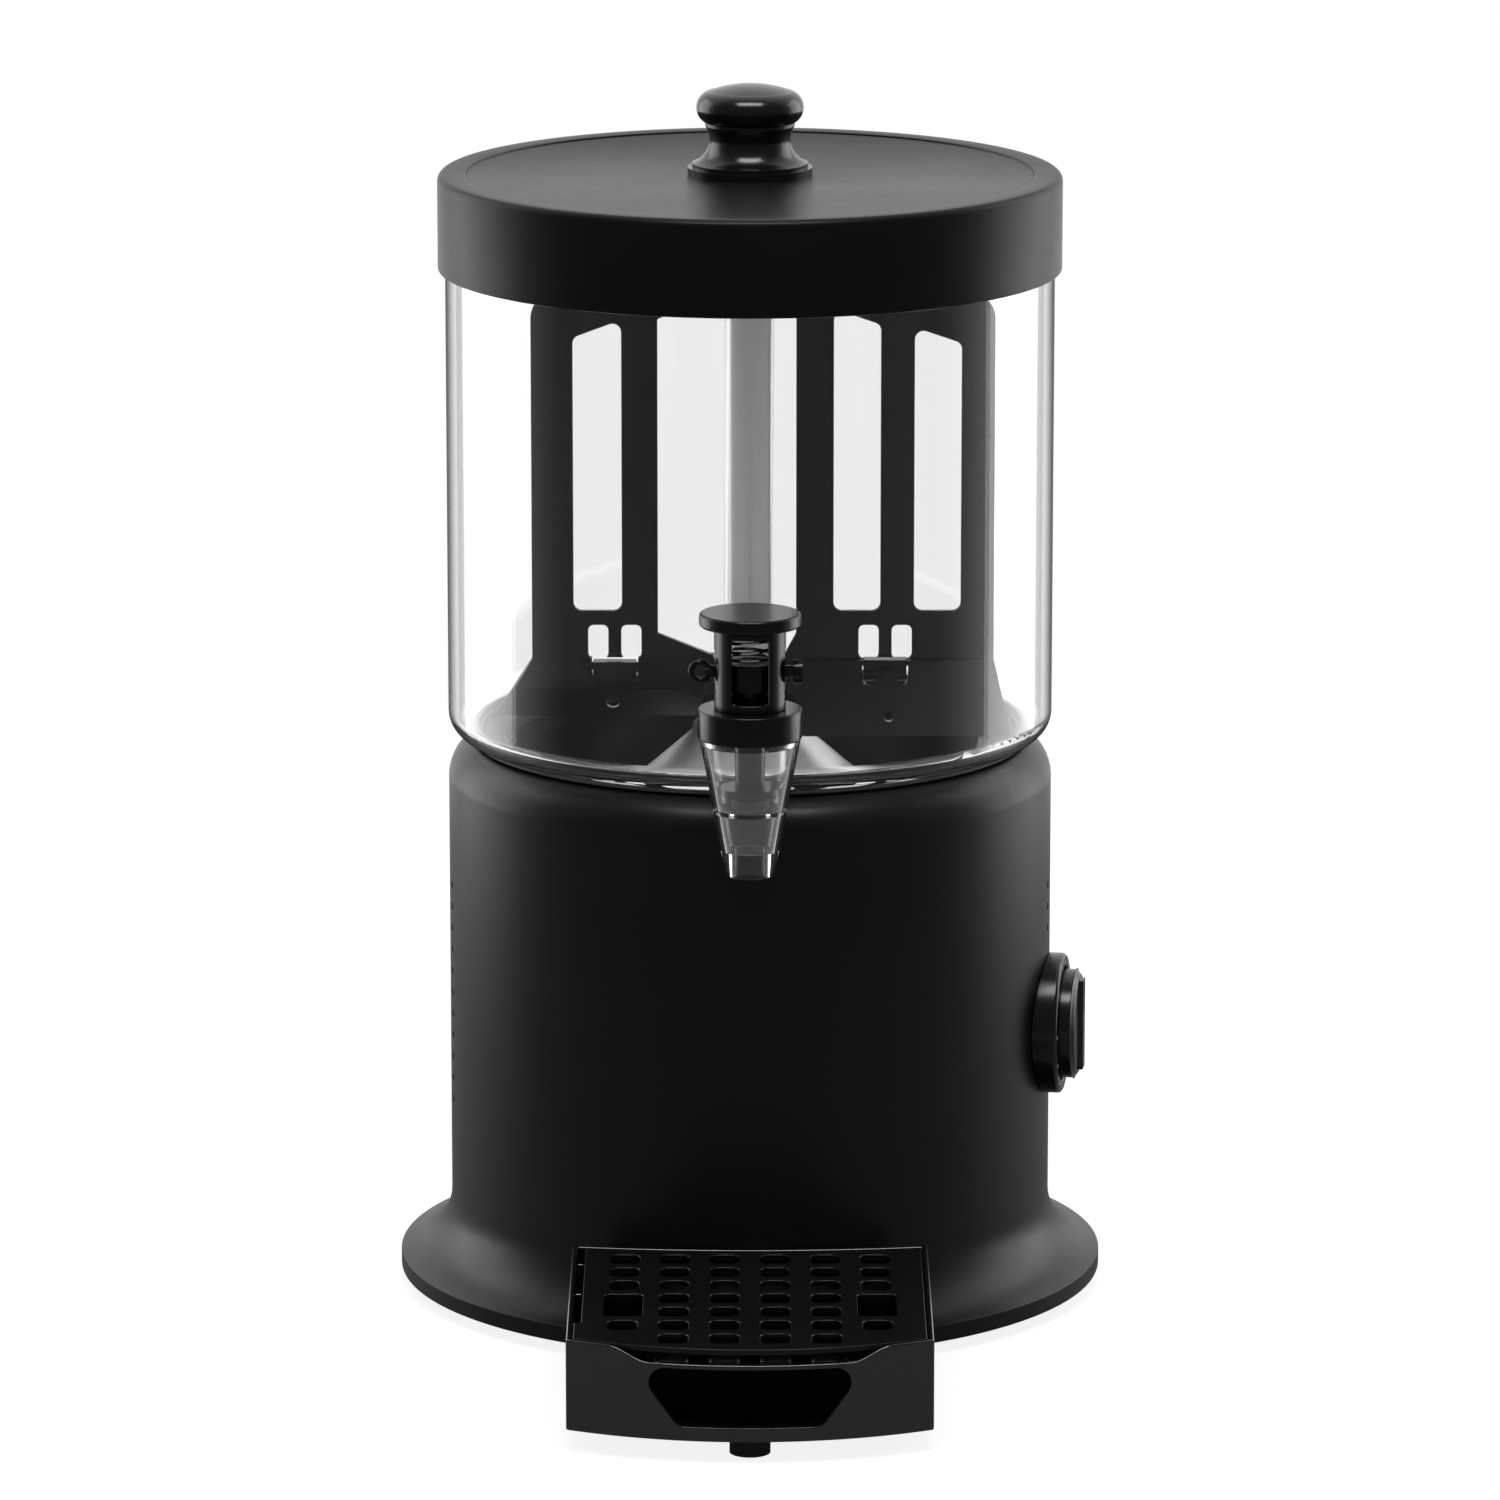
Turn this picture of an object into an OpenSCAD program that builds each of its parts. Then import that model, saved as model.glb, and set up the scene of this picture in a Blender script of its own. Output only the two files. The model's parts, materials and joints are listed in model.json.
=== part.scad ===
// Countertop heated drink dispenser: a round base with a heated well and a stirring drive,
// a clear open-bottomed bowl with a lift tap, a knobbed lid and a pull-out drip tray.
// The origin is on the column's axis at the counter. +Z is up, the tap faces -Y and the
// thermostat dial is on the +X side.

/* [Base] */
// Diameter of the base drum
base_d = 210; // [190:1:230]
// Height of the base from the underside of its flange to its rim
base_h = 190; // [175:1:210]
// Wall of the moulded base housing
base_wall = 3; // [2.5:0.5:4]
// Reach of the flared foot beyond the drum
flange_reach = 18; // [12:1:24]
// Thickness of the flange at its edge
flange_t = 5.5; // [5:0.5:8]
// Radius of the flare between the drum and the flange
flare_r = 22; // [20:1:30]
// Radius of the rounded shoulder round the rim
shoulder_r = 14; // [9:1:16]
// Width of the flat crest of the rim
rim_flat = 1; // [0.5:0.5:3]
// Depth of the lip that turns down into the well
rim_lip_h = 8; // [6:1:12]
// Height of the rubber feet below the flange
foot_h = 4; // [3:0.5:8]
// Diameter of a rubber foot
foot_d = 18; // [12:1:24]
// Thickness of the steel base plate
plate_t = 2; // [1.5:0.5:3]

/* [Vents] */
// Diameter of a vent hole
vent_d = 3; // [2:0.5:4]
// Height between rows of vent holes
vent_pitch = 7.7; // [6:0.1:9]
// Rows of vent holes
vent_rows = 11; // [4:1:12]
// Columns of vent holes on each side
vent_cols = 5; // [1:1:6]

/* [Well and drive] */
// Depth of the well's floor below the rim
well_depth = 45; // [38:1:52]
// Thickness of the pan and of the cone
pan_t = 1.5; // [1:0.5:2.5]
// Gap between the cone's foot and the pan's wall
cone_gap = 13; // [8:1:20]
// Diameter of the disc on top of the cone
cone_top_d = 40; // [34:1:50]
// Height of the cone's disc above the rim
cone_top_rise = 4.5; // [2:0.5:8]
// Outer diameter of the stirrer's column tube
tube_d = 17; // [15:0.5:18]
// Depth of the column's tube below the bowl's rim
tube_drop = 6; // [4:0.5:14]
// Diameter of the drive shaft
shaft_d = 8; // [6:0.5:10]
// Diameter of the motor
motor_d = 44; // [36:1:52]

/* [Stirrer] */
// Gap between the scrapers' sweep and the bowl's lip
sweep_gap = 2.5; // [2:0.5:8]
// Thickness of the stirrer's frame
frame_t = 3; // [2:0.5:4]
// Outer diameter of the frame's collars
collar_d = 27; // [25:0.5:30]
// Gap between the scrapers and the bowl's seal
scraper_gap = 1.5; // [1:0.5:4]
// Lean of a scraper's lower edge away from the frame
scraper_lean = 14; // [8:1:18]

/* [Bowl] */
// How far the bowl's wall stands outside the drum
bowl_step = 0; // [-2:0.5:3]
// Height of the bowl
bowl_h = 173; // [168:1:180]
// Wall of the bowl
bowl_wall = 3.5; // [2.5:0.5:5]
// Radius of the bowl's lower outer corner
bowl_corner_r = 8; // [7:0.5:9]
// Width of the lip that the bowl's wall turns into
bowl_lip_w = 10.5; // [9.5:0.5:11]
// Thickness of the seal under the bowl
seal_t = 1.5; // [1:0.5:3]

/* [Tap] */
// Distance of the tap's axis from the bowl's wall
tap_reach = 21.5; // [19:0.5:26]
// Height of the tap's inlet above the bowl's foot
tap_inlet_h = 30; // [29:0.5:40]
// Diameter of the tap's collar
tap_collar_d = 35; // [33:0.5:36]
// Diameter of the tap's cage
cage_d = 24; // [22:0.5:28]
// Diameter of the valve stem
stem_d = 10; // [8:0.5:11]
// Lift that opens the valve
tap_lift = 5; // [3:0.5:6]

/* [Lid] */
// Height of the lid's skirt
lid_h = 33; // [28:1:40]
// Wall of the lid's skirt
lid_wall = 1.9; // [1.5:0.1:3]
// Overlap of the lid's skirt over the bowl
lid_overlap = 10; // [6:1:14]
// Diameter of the lid knob's head
knob_d = 37; // [32:1:44]

/* [Dial] */
// Height of the dial above the underside of the flange
dial_h = 90; // [70:1:110]
// Turn of the dial from the side towards the front, in degrees
dial_turn = 8.5; // [0:0.5:20]
// Diameter of the dial's bezel
bezel_d = 49; // [44:1:54]
// Diameter of the dial's knob
dial_d = 38; // [32:1:40]

/* [Drip tray] */
// Width of the drip tray
tray_w = 121; // [110:1:126]
// Height of the tray's rim above the counter
tray_top = 38; // [37:1:44]
// Height of the tray's peg foot
peg_h = 7; // [5:1:9]
// Wall of the tray
tray_wall = 1.8; // [1.5:0.1:2.5]
// Depth of the tray along its sides
tray_depth = 113; // [104:1:120]
// Bow of the tray's front edge
tray_bow = 14; // [8:1:18]
// Size of a drain hole
drain_w = 10; // [7:0.5:11]

/* [Hidden] */
$fn = 96;
// A tool's overcut past a face
over = 1;
// Radial clearance of a shaft in its bush
running = 0.05;
// Gap between loose neighbours
gap = 0.5;

// Base
base_r = base_d / 2;
drum_in_r = base_r - base_wall;
flange_r = base_r + flange_reach;
crest = foot_h + base_h;
lip_round = 3;
well_r = base_r - shoulder_r - rim_flat - lip_round;
plate_inset = 0.8;
plate_r = flange_r - base_wall - gap;
plate_top = foot_h + plate_inset + plate_t;
boss_d = 8;
boss_r = drum_in_r - boss_d / 2 + 1;
boss_h = 34;
pan_boss_r = well_r + base_wall + 2;
screw_d = 3;
screw_head_d = 6;
screw_head_h = 2;
screw_len = 10;
foot_ring_r = flange_r - 20;
foot_stem_d = 5;
vent_drop = 50.7;
vent_top = crest - vent_drop;
vent_step = 6.5;
vent_first = 81;
gland_z = foot_h + flange_t + flare_r + 12;
gland_d = 12;
gland_bore = 7;
gland_out = 6;
terminal_y = 62;
terminal_l = 40;
terminal_w = 16;
terminal_h = 14;

// Heated well
pan_out_r = well_r - gap;
pan_in_r = pan_out_r - pan_t;
pan_top = crest - rim_lip_h;
pan_floor = crest - well_depth;
pan_corner_r = 6;
cone_r = pan_in_r - cone_gap;
cone_top = crest + cone_top_rise;
cone_disc_h = 3;
cone_ring_d = 23.6;
cone_ring_h = 4.8;
neck_d = 14.6;
shaft_hole_r = shaft_d / 2 + 3;
heater_t = 3;
heater_r = pan_out_r - pan_corner_r - 4;
element_r = heater_r - 18;
element_w = 7;

// Bowl
seal_top = crest + seal_t;
bowl_r = base_r + bowl_step;
bowl_in_r = bowl_r - bowl_wall;
bowl_lip_r = bowl_r - bowl_lip_w;
bowl_lip_h = 4;
bowl_top = seal_top + bowl_h;

// Column and drive
tube_wall = 1.5;
tube_in_r = tube_d / 2 - tube_wall;
tube_foot = cone_top + cone_ring_h + 5.7;
tube_top = bowl_top - tube_drop;
bush_h = 10;
cap_gap = 0.5;
cap_d = tube_d + 1;
cap_h = 16;
cap_foot = tube_top + cap_gap;
cap_top = cap_foot + cap_h;
peg_d = 5.6;
peg_z = cap_top - 5;
bracket_t = 2;
bracket_w = 64;
bracket_y = 50;
bracket_top = pan_floor - pan_t - 20;
gearbox_w = 52;
gearbox_h = 28;
motor_len = 48;
coupling_d = 18;
coupling_h = 13;
output_len = 26;
output_top = bracket_top + 11;
motor_screw_depth = 7;

// Stirrer
sweep_r = bowl_lip_r - sweep_gap;
collar_bore = tube_d + 3.6;
collar_h = 18;
collar_top = tube_top + 3.5;
ring_h = 8.6;
ring_foot = crest + 19.7;
tab_w = 15;
tab_rise = 16;
tab_t = 2.8;
wing_r = sweep_r - 7.2;
wing_left_r = wing_r - 9;
wing_in = 16;
wing_left_in = 32;
wing_foot = crest + 16;
scraper_t = 2.5;
scraper_foot = seal_top + scraper_gap;
scraper_top = crest + 27;
scraper_out_y = frame_t / 2 + scraper_t + scraper_lean;
scraper_out_x = sqrt(pow(sweep_r, 2) - pow(scraper_out_y, 2));
slot_foot = crest + 44;
slot_round = 3;
window_foot = crest + 27;
window_h = 12;
window_w = 7;
window_bar = 4.5;
clip_x = 47;
clip_w = 15;
hook_w = 8;

// Tap
tap_y = -(bowl_r + tap_reach);
inlet_z = seal_top + tap_inlet_h;
stub_d = 14;
stub_bore = 8;
stub_in = 10;
tap_flange_d = 24;
collar_half = 5;
chamber_r = 14.8;
tap_top = inlet_z + collar_half;
cage_h = 28;
cage_bore = cage_d - 4.8;
cap_disc_d = 34;
cap_disc_h = 4.5;
spring_wire = 1.2;
head_foot = tap_top + 7;
head_top = tap_top + 16;
pin_d = 4;
pin_z = tap_top + 12.5;
pin_reach = cage_d / 2 + 3;
seat_z = inlet_z - 29;
seat_t = 1.5;
plug_d = 12.7;
plug_h = 3.5;
nozzle_wall = 1.8;
nozzle_foot = inlet_z - 45;
nozzle_top = inlet_z - collar_half;
tip_h = 7;
tip_d = 16;

// Lid
lid_gap = 0.6;
lid_in_r = bowl_r + lid_gap;
lid_r = lid_in_r + lid_wall;
lid_foot = bowl_top - lid_overlap;
lid_top = lid_foot + lid_h;
lid_plate = 2.5;
lid_round = 2.5;
lid_recess = 0.6;
ledge_h = 3;
knob_head_r = 5.8;
knob_neck_r = knob_d / 2 - 4.5;
knob_h = 31;

// Dial
dial_z = foot_h + dial_h;
bezel_out = 6;
dial_out = 7;
spindle_d = 6;

// Drip tray
tray_gap = 2.5;
tray_rear = -(base_r + tray_gap);
rear_bow = 4.8;
tray_front = tray_rear + rear_bow - tray_depth - tray_bow;
shelf_z = tray_top - 13.3;
under_r = flange_r + 1.5;
grid_t = 2;
grid_gap = 0.5;
grid_pitch_x = 16.9;
grid_pitch_y = 15.7;
scoop_w = 66;
scoop_depth = 11;
scoop_draw = 7;
scoop_round = 5;
lip_dip = 4.8;
lip_run = 14;
lip_t = 1.8;
pad_d = 12;

// ---------- shapes used by several parts ----------

// A flat ring or tube standing at height z
module ring(outer_d, inner_d, h, z = 0) {
    translate([0, 0, z]) difference() {
        cylinder(d = outer_d, h = h);
        translate([0, 0, -over]) cylinder(d = inner_d, h = h + 2 * over);
    }
}

// A rod along +Y from y0 to y1
module rod_y(d, y0, y1) {
    translate([0, y0, 0]) rotate([-90, 0, 0]) cylinder(d = d, h = y1 - y0);
}

// A rod along +X from x0 to x1
module rod_x(d, x0, x1) {
    translate([x0, 0, 0]) rotate([0, 90, 0]) cylinder(d = d, h = x1 - x0);
}

// A convex outline with round corners: its corner arcs are centred on pts, anticlockwise
module rounded_outline(pts, r) {
    n = len(pts);
    edge = [for (i = [0:n - 1]) pts[(i + 1) % n] - pts[i]];
    out = [for (e = edge) [e[1], -e[0]] * r / norm(e)];
    polygon([for (i = [0:n - 1], k = [0, 1]) pts[(i + k) % n] + out[i]]);
    for (p = pts) translate(p) circle(r, $fn = 32);
}

// A rounded rectangle from one corner to the other
module rounded_rect(x0, y0, x1, y1, r) {
    rounded_outline([[x0 + r, y0 + r], [x1 - r, y0 + r], [x1 - r, y1 - r], [x0 + r, y1 - r]], r);
}

// A cup's half profile: a rectangle with its outer lower corner rounded
module cup_profile(r, z0, z1, corner) {
    translate([0, z0 + corner]) square([r, z1 - z0 - corner]);
    translate([0, z0]) square([r - corner, corner]);
    translate([r - corner, z0 + corner]) circle(corner);
}

// Places its children n times round the axis at radius r
module around(n, r, first = 0) {
    for (i = [0:n - 1]) rotate(first + i * 360 / n) translate([r, 0, 0]) children();
}

// A pan-head screw pointing up, with its head's seat at z = 0
module screw_up(len) {
    translate([0, 0, -screw_head_h]) cylinder(d = screw_head_d, h = screw_head_h);
    cylinder(d = screw_d, h = len);
}

// ---------- base ----------

// Half profile of the housing's outside: drum, shoulder, flare and flange
module housing_outside() {
    translate([0, foot_h]) square([base_r, base_h - shoulder_r]);
    translate([0, foot_h]) square([base_r - shoulder_r, base_h]);
    translate([base_r - shoulder_r, crest - shoulder_r]) circle(shoulder_r);
    translate([0, foot_h]) square([flange_r, flange_t]);
    difference() {
        translate([0, foot_h]) square([flange_r, flange_t + flare_r]);
        translate([base_r + flare_r, foot_h + flange_t + flare_r]) circle(flare_r);
    }
}

// Half profile of the hollow inside the housing
module housing_inside() {
    translate([0, foot_h - over]) square([drum_in_r, base_h - shoulder_r + over]);
    translate([0, foot_h - over]) square([base_r - shoulder_r, base_h - base_wall + over]);
    translate([base_r - shoulder_r, crest - shoulder_r]) circle(shoulder_r - base_wall);
    difference() {
        translate([0, foot_h - over]) square([flange_r - base_wall, flange_t + flare_r + over]);
        translate([base_r + flare_r, foot_h + flange_t + flare_r]) circle(flare_r + base_wall);
    }
}

module housing_profile() {
    difference() {
        housing_outside();
        difference() {
            housing_inside();
            translate([well_r, pan_top]) square([base_wall, rim_lip_h]);
        }
        translate([-over, pan_top - over]) square([well_r + over, rim_lip_h + 2 * over]);
        difference() {
            translate([well_r - over, crest - lip_round]) square([lip_round + over, lip_round + over]);
            translate([well_r + lip_round, crest - lip_round]) circle(lip_round);
        }
    }
}

// Where the dial's axis crosses the housing
module at_dial() {
    rotate(-dial_turn) translate([0, 0, dial_z]) rotate([0, 90, 0]) children();
}

// A vent hole stays clear of the dial's bezel
function clear_of_dial(a, z) =
    norm([base_r * (a + dial_turn) * PI / 180, z - dial_z]) > bezel_d / 2 + 2 * vent_d;

module vent_holes() {
    for (side = [0, 1], c = [0:vent_cols - 1], i = [0:vent_rows - 1]) {
        a = (side == 0 ? -90 + vent_first : -90 - vent_first) + (side == 0 ? 1 : -1) * c * vent_step;
        z = vent_top - i * vent_pitch;
        if (side == 1 || clear_of_dial(a, z))
            rotate(a) translate([drum_in_r - over, 0, z]) rotate([0, 90, 0])
                cylinder(d = vent_d, h = base_wall + 2 * over, $fn = 16);
    }
}

module base_housing() {
    color([0.07, 0.07, 0.075]) difference() {
        union() {
            rotate_extrude() housing_profile();
            around(4, boss_r, 45) translate([0, 0, plate_top]) cylinder(d = boss_d, h = boss_h);
            around(4, pan_boss_r, 45) translate([0, 0, pan_top])
                cylinder(d = boss_d, h = rim_lip_h - base_wall + 0.5);
        }
        vent_holes();
        translate([0, 0, pan_top - over]) cylinder(r = well_r, h = rim_lip_h - lip_round);
        around(4, boss_r, 45) translate([0, 0, plate_top - over])
            cylinder(d = screw_d, h = screw_len);
        around(4, pan_boss_r, 45) translate([0, 0, pan_top - over])
            cylinder(d = screw_d, h = rim_lip_h - base_wall);
        at_dial() cylinder(d = spindle_d + 4, h = base_r + 2 * over);
        translate([0, 0, gland_z]) rod_y(gland_d, drum_in_r - over - 3, base_r + over);
    }
}

// Steel floor of the base
module base_plate() {
    color([0.62, 0.63, 0.65]) difference() {
        translate([0, 0, foot_h + plate_inset]) cylinder(r = plate_r, h = plate_t);
        around(4, boss_r, 45) translate([0, 0, foot_h]) cylinder(d = screw_d, h = plate_t + over);
        around(4, foot_ring_r) translate([0, 0, foot_h]) cylinder(d = foot_stem_d, h = plate_t + over);
        around(6, motor_d * 0.75, 30) translate([0, 0, foot_h]) cylinder(d = 2 * vent_d, h = plate_t + over);
    }
}

module base_plate_screws() {
    color([0.75, 0.75, 0.77]) around(4, boss_r, 45) translate([0, 0, foot_h + plate_inset])
        screw_up(plate_t + screw_len - 2 * over);
}

// Rubber feet with a stem pushed through the plate
module rubber_feet() {
    color([0.05, 0.05, 0.05]) around(4, foot_ring_r) {
        cylinder(d = foot_d, h = foot_h + plate_inset);
        cylinder(d = foot_stem_d, h = plate_top);
        translate([0, 0, plate_top]) cylinder(d = foot_stem_d + 3, h = 2);
    }
}

// ---------- heated well ----------

module heating_pan() {
    color([0.05, 0.05, 0.055]) difference() {
        union() {
            rotate_extrude() difference() {
                cup_profile(pan_out_r, pan_floor - pan_t, pan_top, pan_corner_r);
                cup_profile(pan_in_r, pan_floor, pan_top + over, pan_corner_r - pan_t);
            }
            ring(2 * (pan_boss_r + boss_d / 2), 2 * pan_in_r, pan_t, pan_top - pan_t);
        }
        translate([0, 0, pan_floor - 2 * pan_t]) cylinder(r = shaft_hole_r, h = 4 * pan_t);
        around(4, pan_boss_r, 45) translate([0, 0, pan_top - 2 * pan_t])
            cylinder(d = screw_d, h = 4 * pan_t);
    }
}

module pan_screws() {
    color([0.75, 0.75, 0.77]) around(4, pan_boss_r, 45) translate([0, 0, pan_top - pan_t])
        screw_up(pan_t + rim_lip_h - base_wall - 2 * over);
}

// Aluminium plate that spreads the heat under the pan
module heater_plate() {
    color([0.8, 0.8, 0.8])
        ring(2 * heater_r, 2 * (shaft_hole_r + 6), heater_t, pan_floor - pan_t - heater_t);
}

// Flat heating element: most of a ring, with two terminals
module heater_element() {
    z = pan_floor - pan_t - heater_t - element_w;
    color([0.45, 0.42, 0.4]) {
        difference() {
            ring(2 * (element_r + element_w / 2), 2 * (element_r - element_w / 2), element_w, z);
            translate([0, -element_w, z - over]) cube([2 * element_r, 2 * element_w, element_w + 2 * over]);
        }
        for (s = [-1, 1]) translate([element_r, s * (element_w + 2), z - 8]) cylinder(d = 3, h = 8 + 1);
    }
}

module thermal_cutout() {
    z = pan_floor - pan_t - heater_t - 9;
    color([0.15, 0.15, 0.16]) translate([0, -element_r + element_w + 9, z]) {
        cylinder(d = 16, h = 9);
        for (s = [-1, 1]) translate([s * 4 - 1.5, -0.4, -6]) cube([3, 0.8, 6 + 1]);
    }
}

// Cone in the middle of the well, with a disc and a ring that hold the column
module drive_cone() {
    disc_r = cone_top_d / 2;
    color([0.78, 0.78, 0.79]) rotate_extrude() difference() {
        polygon([[neck_d / 2, cone_top + cone_ring_h], [cone_ring_d / 2, cone_top + cone_ring_h],
            [cone_ring_d / 2, cone_top], [disc_r, cone_top], [disc_r, cone_top - cone_disc_h],
            [cone_r, pan_floor + pan_t], [cone_r, pan_floor], [cone_r - 3 * pan_t, pan_floor],
            [disc_r - 3 * pan_t, cone_top - cone_disc_h - pan_t],
            [neck_d / 2, cone_top - cone_disc_h - pan_t]]);
        difference() {
            translate([disc_r - over, cone_top - over]) square(over + 1);
            translate([disc_r - over, cone_top - over]) circle(over, $fn = 32);
        }
    }
}

// Dark bush that carries the column on the cone's ring and guides the shaft
module column_foot_bush() {
    foot = cone_top - cone_disc_h - pan_t;
    color([0.2, 0.2, 0.21]) difference() {
        union() {
            translate([0, 0, foot]) cylinder(d = neck_d, h = tube_foot - foot);
            translate([0, 0, foot - 2]) cylinder(d = neck_d + 5, h = 2);
            translate([0, 0, tube_foot]) cylinder(r = tube_in_r, h = bush_h);
        }
        translate([0, 0, foot - 3]) cylinder(d = shaft_d + 2 * running, h = bush_h + tube_foot - foot + 4);
    }
}

module shaft_tube() {
    color([0.72, 0.73, 0.75]) ring(tube_d, 2 * tube_in_r, tube_top - tube_foot, tube_foot);
}

module column_top_bush() {
    color([0.2, 0.2, 0.21]) ring(2 * tube_in_r, shaft_d + 2 * running, bush_h, tube_top - bush_h);
}

// Rubber seal round the shaft in the pan's floor
module shaft_seal() {
    color([0.25, 0.08, 0.06]) difference() {
        union() {
            translate([0, 0, pan_floor]) cylinder(r = shaft_hole_r + 2, h = 2.5);
            translate([0, 0, pan_floor - pan_t - 2]) cylinder(r = shaft_hole_r, h = pan_t + 3);
        }
        translate([0, 0, pan_floor - pan_t - 3]) cylinder(d = shaft_d + 2 * running, h = pan_t + 8);
    }
}

// ---------- drive ----------

// Bridge that stands on the plate and carries the gear motor
module motor_bracket() {
    leg_h = bracket_top - plate_top;
    color([0.62, 0.63, 0.65]) difference() {
        translate([0, -bracket_y / 2, 0]) union() {
            translate([-bracket_w / 2, 0, bracket_top - bracket_t]) cube([bracket_w, bracket_y, bracket_t]);
            for (s = [0, 1]) mirror([s, 0, 0]) {
                translate([bracket_w / 2 - bracket_t, 0, plate_top]) cube([bracket_t, bracket_y, leg_h]);
                translate([bracket_w / 2 - bracket_t, 0, plate_top]) cube([14, bracket_y, bracket_t]);
            }
        }
        translate([0, 0, bracket_top - 2 * bracket_t]) cylinder(d = coupling_d + 4, h = 4 * bracket_t);
        for (x = [-1, 1], y = [-1, 1]) translate([x * 20, y * 20, bracket_top - 2 * bracket_t])
            cylinder(d = screw_d, h = 4 * bracket_t);
    }
}

module gearbox() {
    color([0.35, 0.36, 0.38]) difference() {
        translate([0, 0, bracket_top - bracket_t - gearbox_h]) linear_extrude(gearbox_h)
            rounded_rect(-gearbox_w / 2, -gearbox_w / 2 + 2, gearbox_w / 2, gearbox_w / 2 - 2, 6);
        translate([0, 0, bracket_top - bracket_t - gearbox_h + 6])
            cylinder(d = shaft_d + 2 * running, h = gearbox_h);
        for (x = [-1, 1], y = [-1, 1]) translate([x * 20, y * 20, bracket_top - bracket_t - 8])
            cylinder(d = screw_d, h = 8 + over);
    }
}

module motor() {
    top = bracket_top - bracket_t - gearbox_h;
    color([0.55, 0.56, 0.58]) translate([0, 0, top - motor_len]) {
        translate([0, 0, 6]) cylinder(d = motor_d, h = motor_len - 6);
        cylinder(d = motor_d * 0.4, h = 7);
    }
}

module motor_screws() {
    color([0.75, 0.75, 0.77]) for (x = [-1, 1], y = [-1, 1])
        translate([x * 20, y * 20, bracket_top]) mirror([0, 0, 1])
            screw_up(bracket_t + motor_screw_depth);
}

module output_shaft() {
    color([0.7, 0.7, 0.72]) translate([0, 0, output_top - output_len])
        cylinder(d = shaft_d, h = output_len);
}

module shaft_coupling() {
    color([0.3, 0.3, 0.32]) ring(coupling_d, shaft_d, coupling_h, output_top - coupling_h / 2);
}

module drive_shaft() {
    color([0.7, 0.7, 0.72]) translate([0, 0, output_top])
        cylinder(d = shaft_d, h = cap_top - 4 - output_top);
}

// ---------- thermostat, terminals and cord gland ----------

module thermostat_body() {
    back = drum_in_r - 20;
    color([0.16, 0.16, 0.17]) at_dial() difference() {
        union() {
            translate([0, 0, back]) cylinder(d = 28, h = 17);
            translate([0, 0, back + 16]) cylinder(d = spindle_d + 4, h = base_r + 1.5 - back - 16);
        }
        translate([0, 0, back + 4]) cylinder(d = spindle_d + 2 * running, h = base_r);
    }
}

// Round bezel, hollowed to the drum at its back and recessed for the dial at its front
module dial_bezel() {
    color([0.06, 0.06, 0.065]) difference() {
        at_dial() translate([0, 0, base_r - 6]) rotate_extrude() difference() {
            union() {
                square([bezel_d / 2, 6 + bezel_out - 1.5]);
                square([bezel_d / 2 - 1.5, 6 + bezel_out]);
                translate([bezel_d / 2 - 1.5, 6 + bezel_out - 1.5]) circle(1.5, $fn = 32);
            }
            translate([-over, 6 + bezel_out - 2]) square([dial_d / 2 + 1.2 + over, 3]);
        }
        cylinder(r = base_r, h = crest);
        at_dial() cylinder(d = spindle_d + 4, h = base_r + 2 * bezel_out);
    }
}

module dial_knob() {
    foot = base_r + bezel_out - 1.5;
    top = base_r + bezel_out + dial_out;
    color([0.06, 0.06, 0.065]) at_dial() difference() {
        union() {
            translate([0, 0, foot]) cylinder(d = dial_d, h = top - foot - 3);
            translate([0, 0, top - 3.01]) cylinder(d1 = dial_d, d2 = dial_d - 4, h = 1.51);
            translate([-dial_d / 2 + 3, -3, top - 1.6]) cube([dial_d - 6, 6, 1.6]);
        }
        translate([0, 0, foot - over]) cylinder(d = spindle_d, h = 5 + over);
        translate([-dial_d / 2 + 2, -0.6, top - 0.5]) cube([dial_d / 3, 1.2, 1]);
    }
}

module thermostat_spindle() {
    back = drum_in_r - 15;
    color([0.7, 0.7, 0.72]) at_dial() translate([0, 0, back])
        cylinder(d = spindle_d, h = base_r + bezel_out + 3.5 - back);
}

module terminal_block() {
    pitch = terminal_l * 0.3;
    color([0.85, 0.83, 0.76]) translate([-terminal_l / 2, terminal_y, plate_top]) difference() {
        cube([terminal_l, terminal_w, terminal_h]);
        for (i = [-1:1]) translate([terminal_l / 2 + pitch * i, terminal_w / 2, terminal_h - 8])
            cylinder(d = 5, h = 8 + over);
    }
}

// Gland for the mains lead, at the back of the drum
module cord_gland() {
    color([0.06, 0.06, 0.06]) difference() {
        union() {
            difference() {
                translate([0, 0, gland_z]) rod_y(gland_d + 6, base_r - 4, base_r + gland_out);
                cylinder(r = base_r, h = crest);
            }
            translate([0, 0, gland_z]) rod_y(gland_d, drum_in_r - 8, base_r + gland_out);
            translate([0, 0, gland_z]) rod_y(gland_d + 5, drum_in_r - 8, drum_in_r - 4);
        }
        translate([0, 0, gland_z]) rod_y(gland_bore, drum_in_r - 8 - over, base_r + gland_out + over);
    }
}

// ---------- stirrer ----------

// Cap that turns with the shaft and drives the stirrer by a peg through its tab
module shaft_cap() {
    color([0.05, 0.05, 0.055]) difference() {
        union() {
            translate([0, 0, cap_foot]) rotate_extrude() {
                square([cap_d / 2, cap_h - 2]);
                square([cap_d / 2 - 2, cap_h]);
                translate([cap_d / 2 - 2, cap_h - 2]) circle(2, $fn = 32);
            }
            translate([0, 0, peg_z]) rod_y(peg_d, cap_d / 4, collar_bore / 2 + tab_t + 1.5);
        }
        translate([0, 0, cap_foot - over]) cylinder(d = shaft_d, h = cap_h - 4 + over);
    }
}

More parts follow.
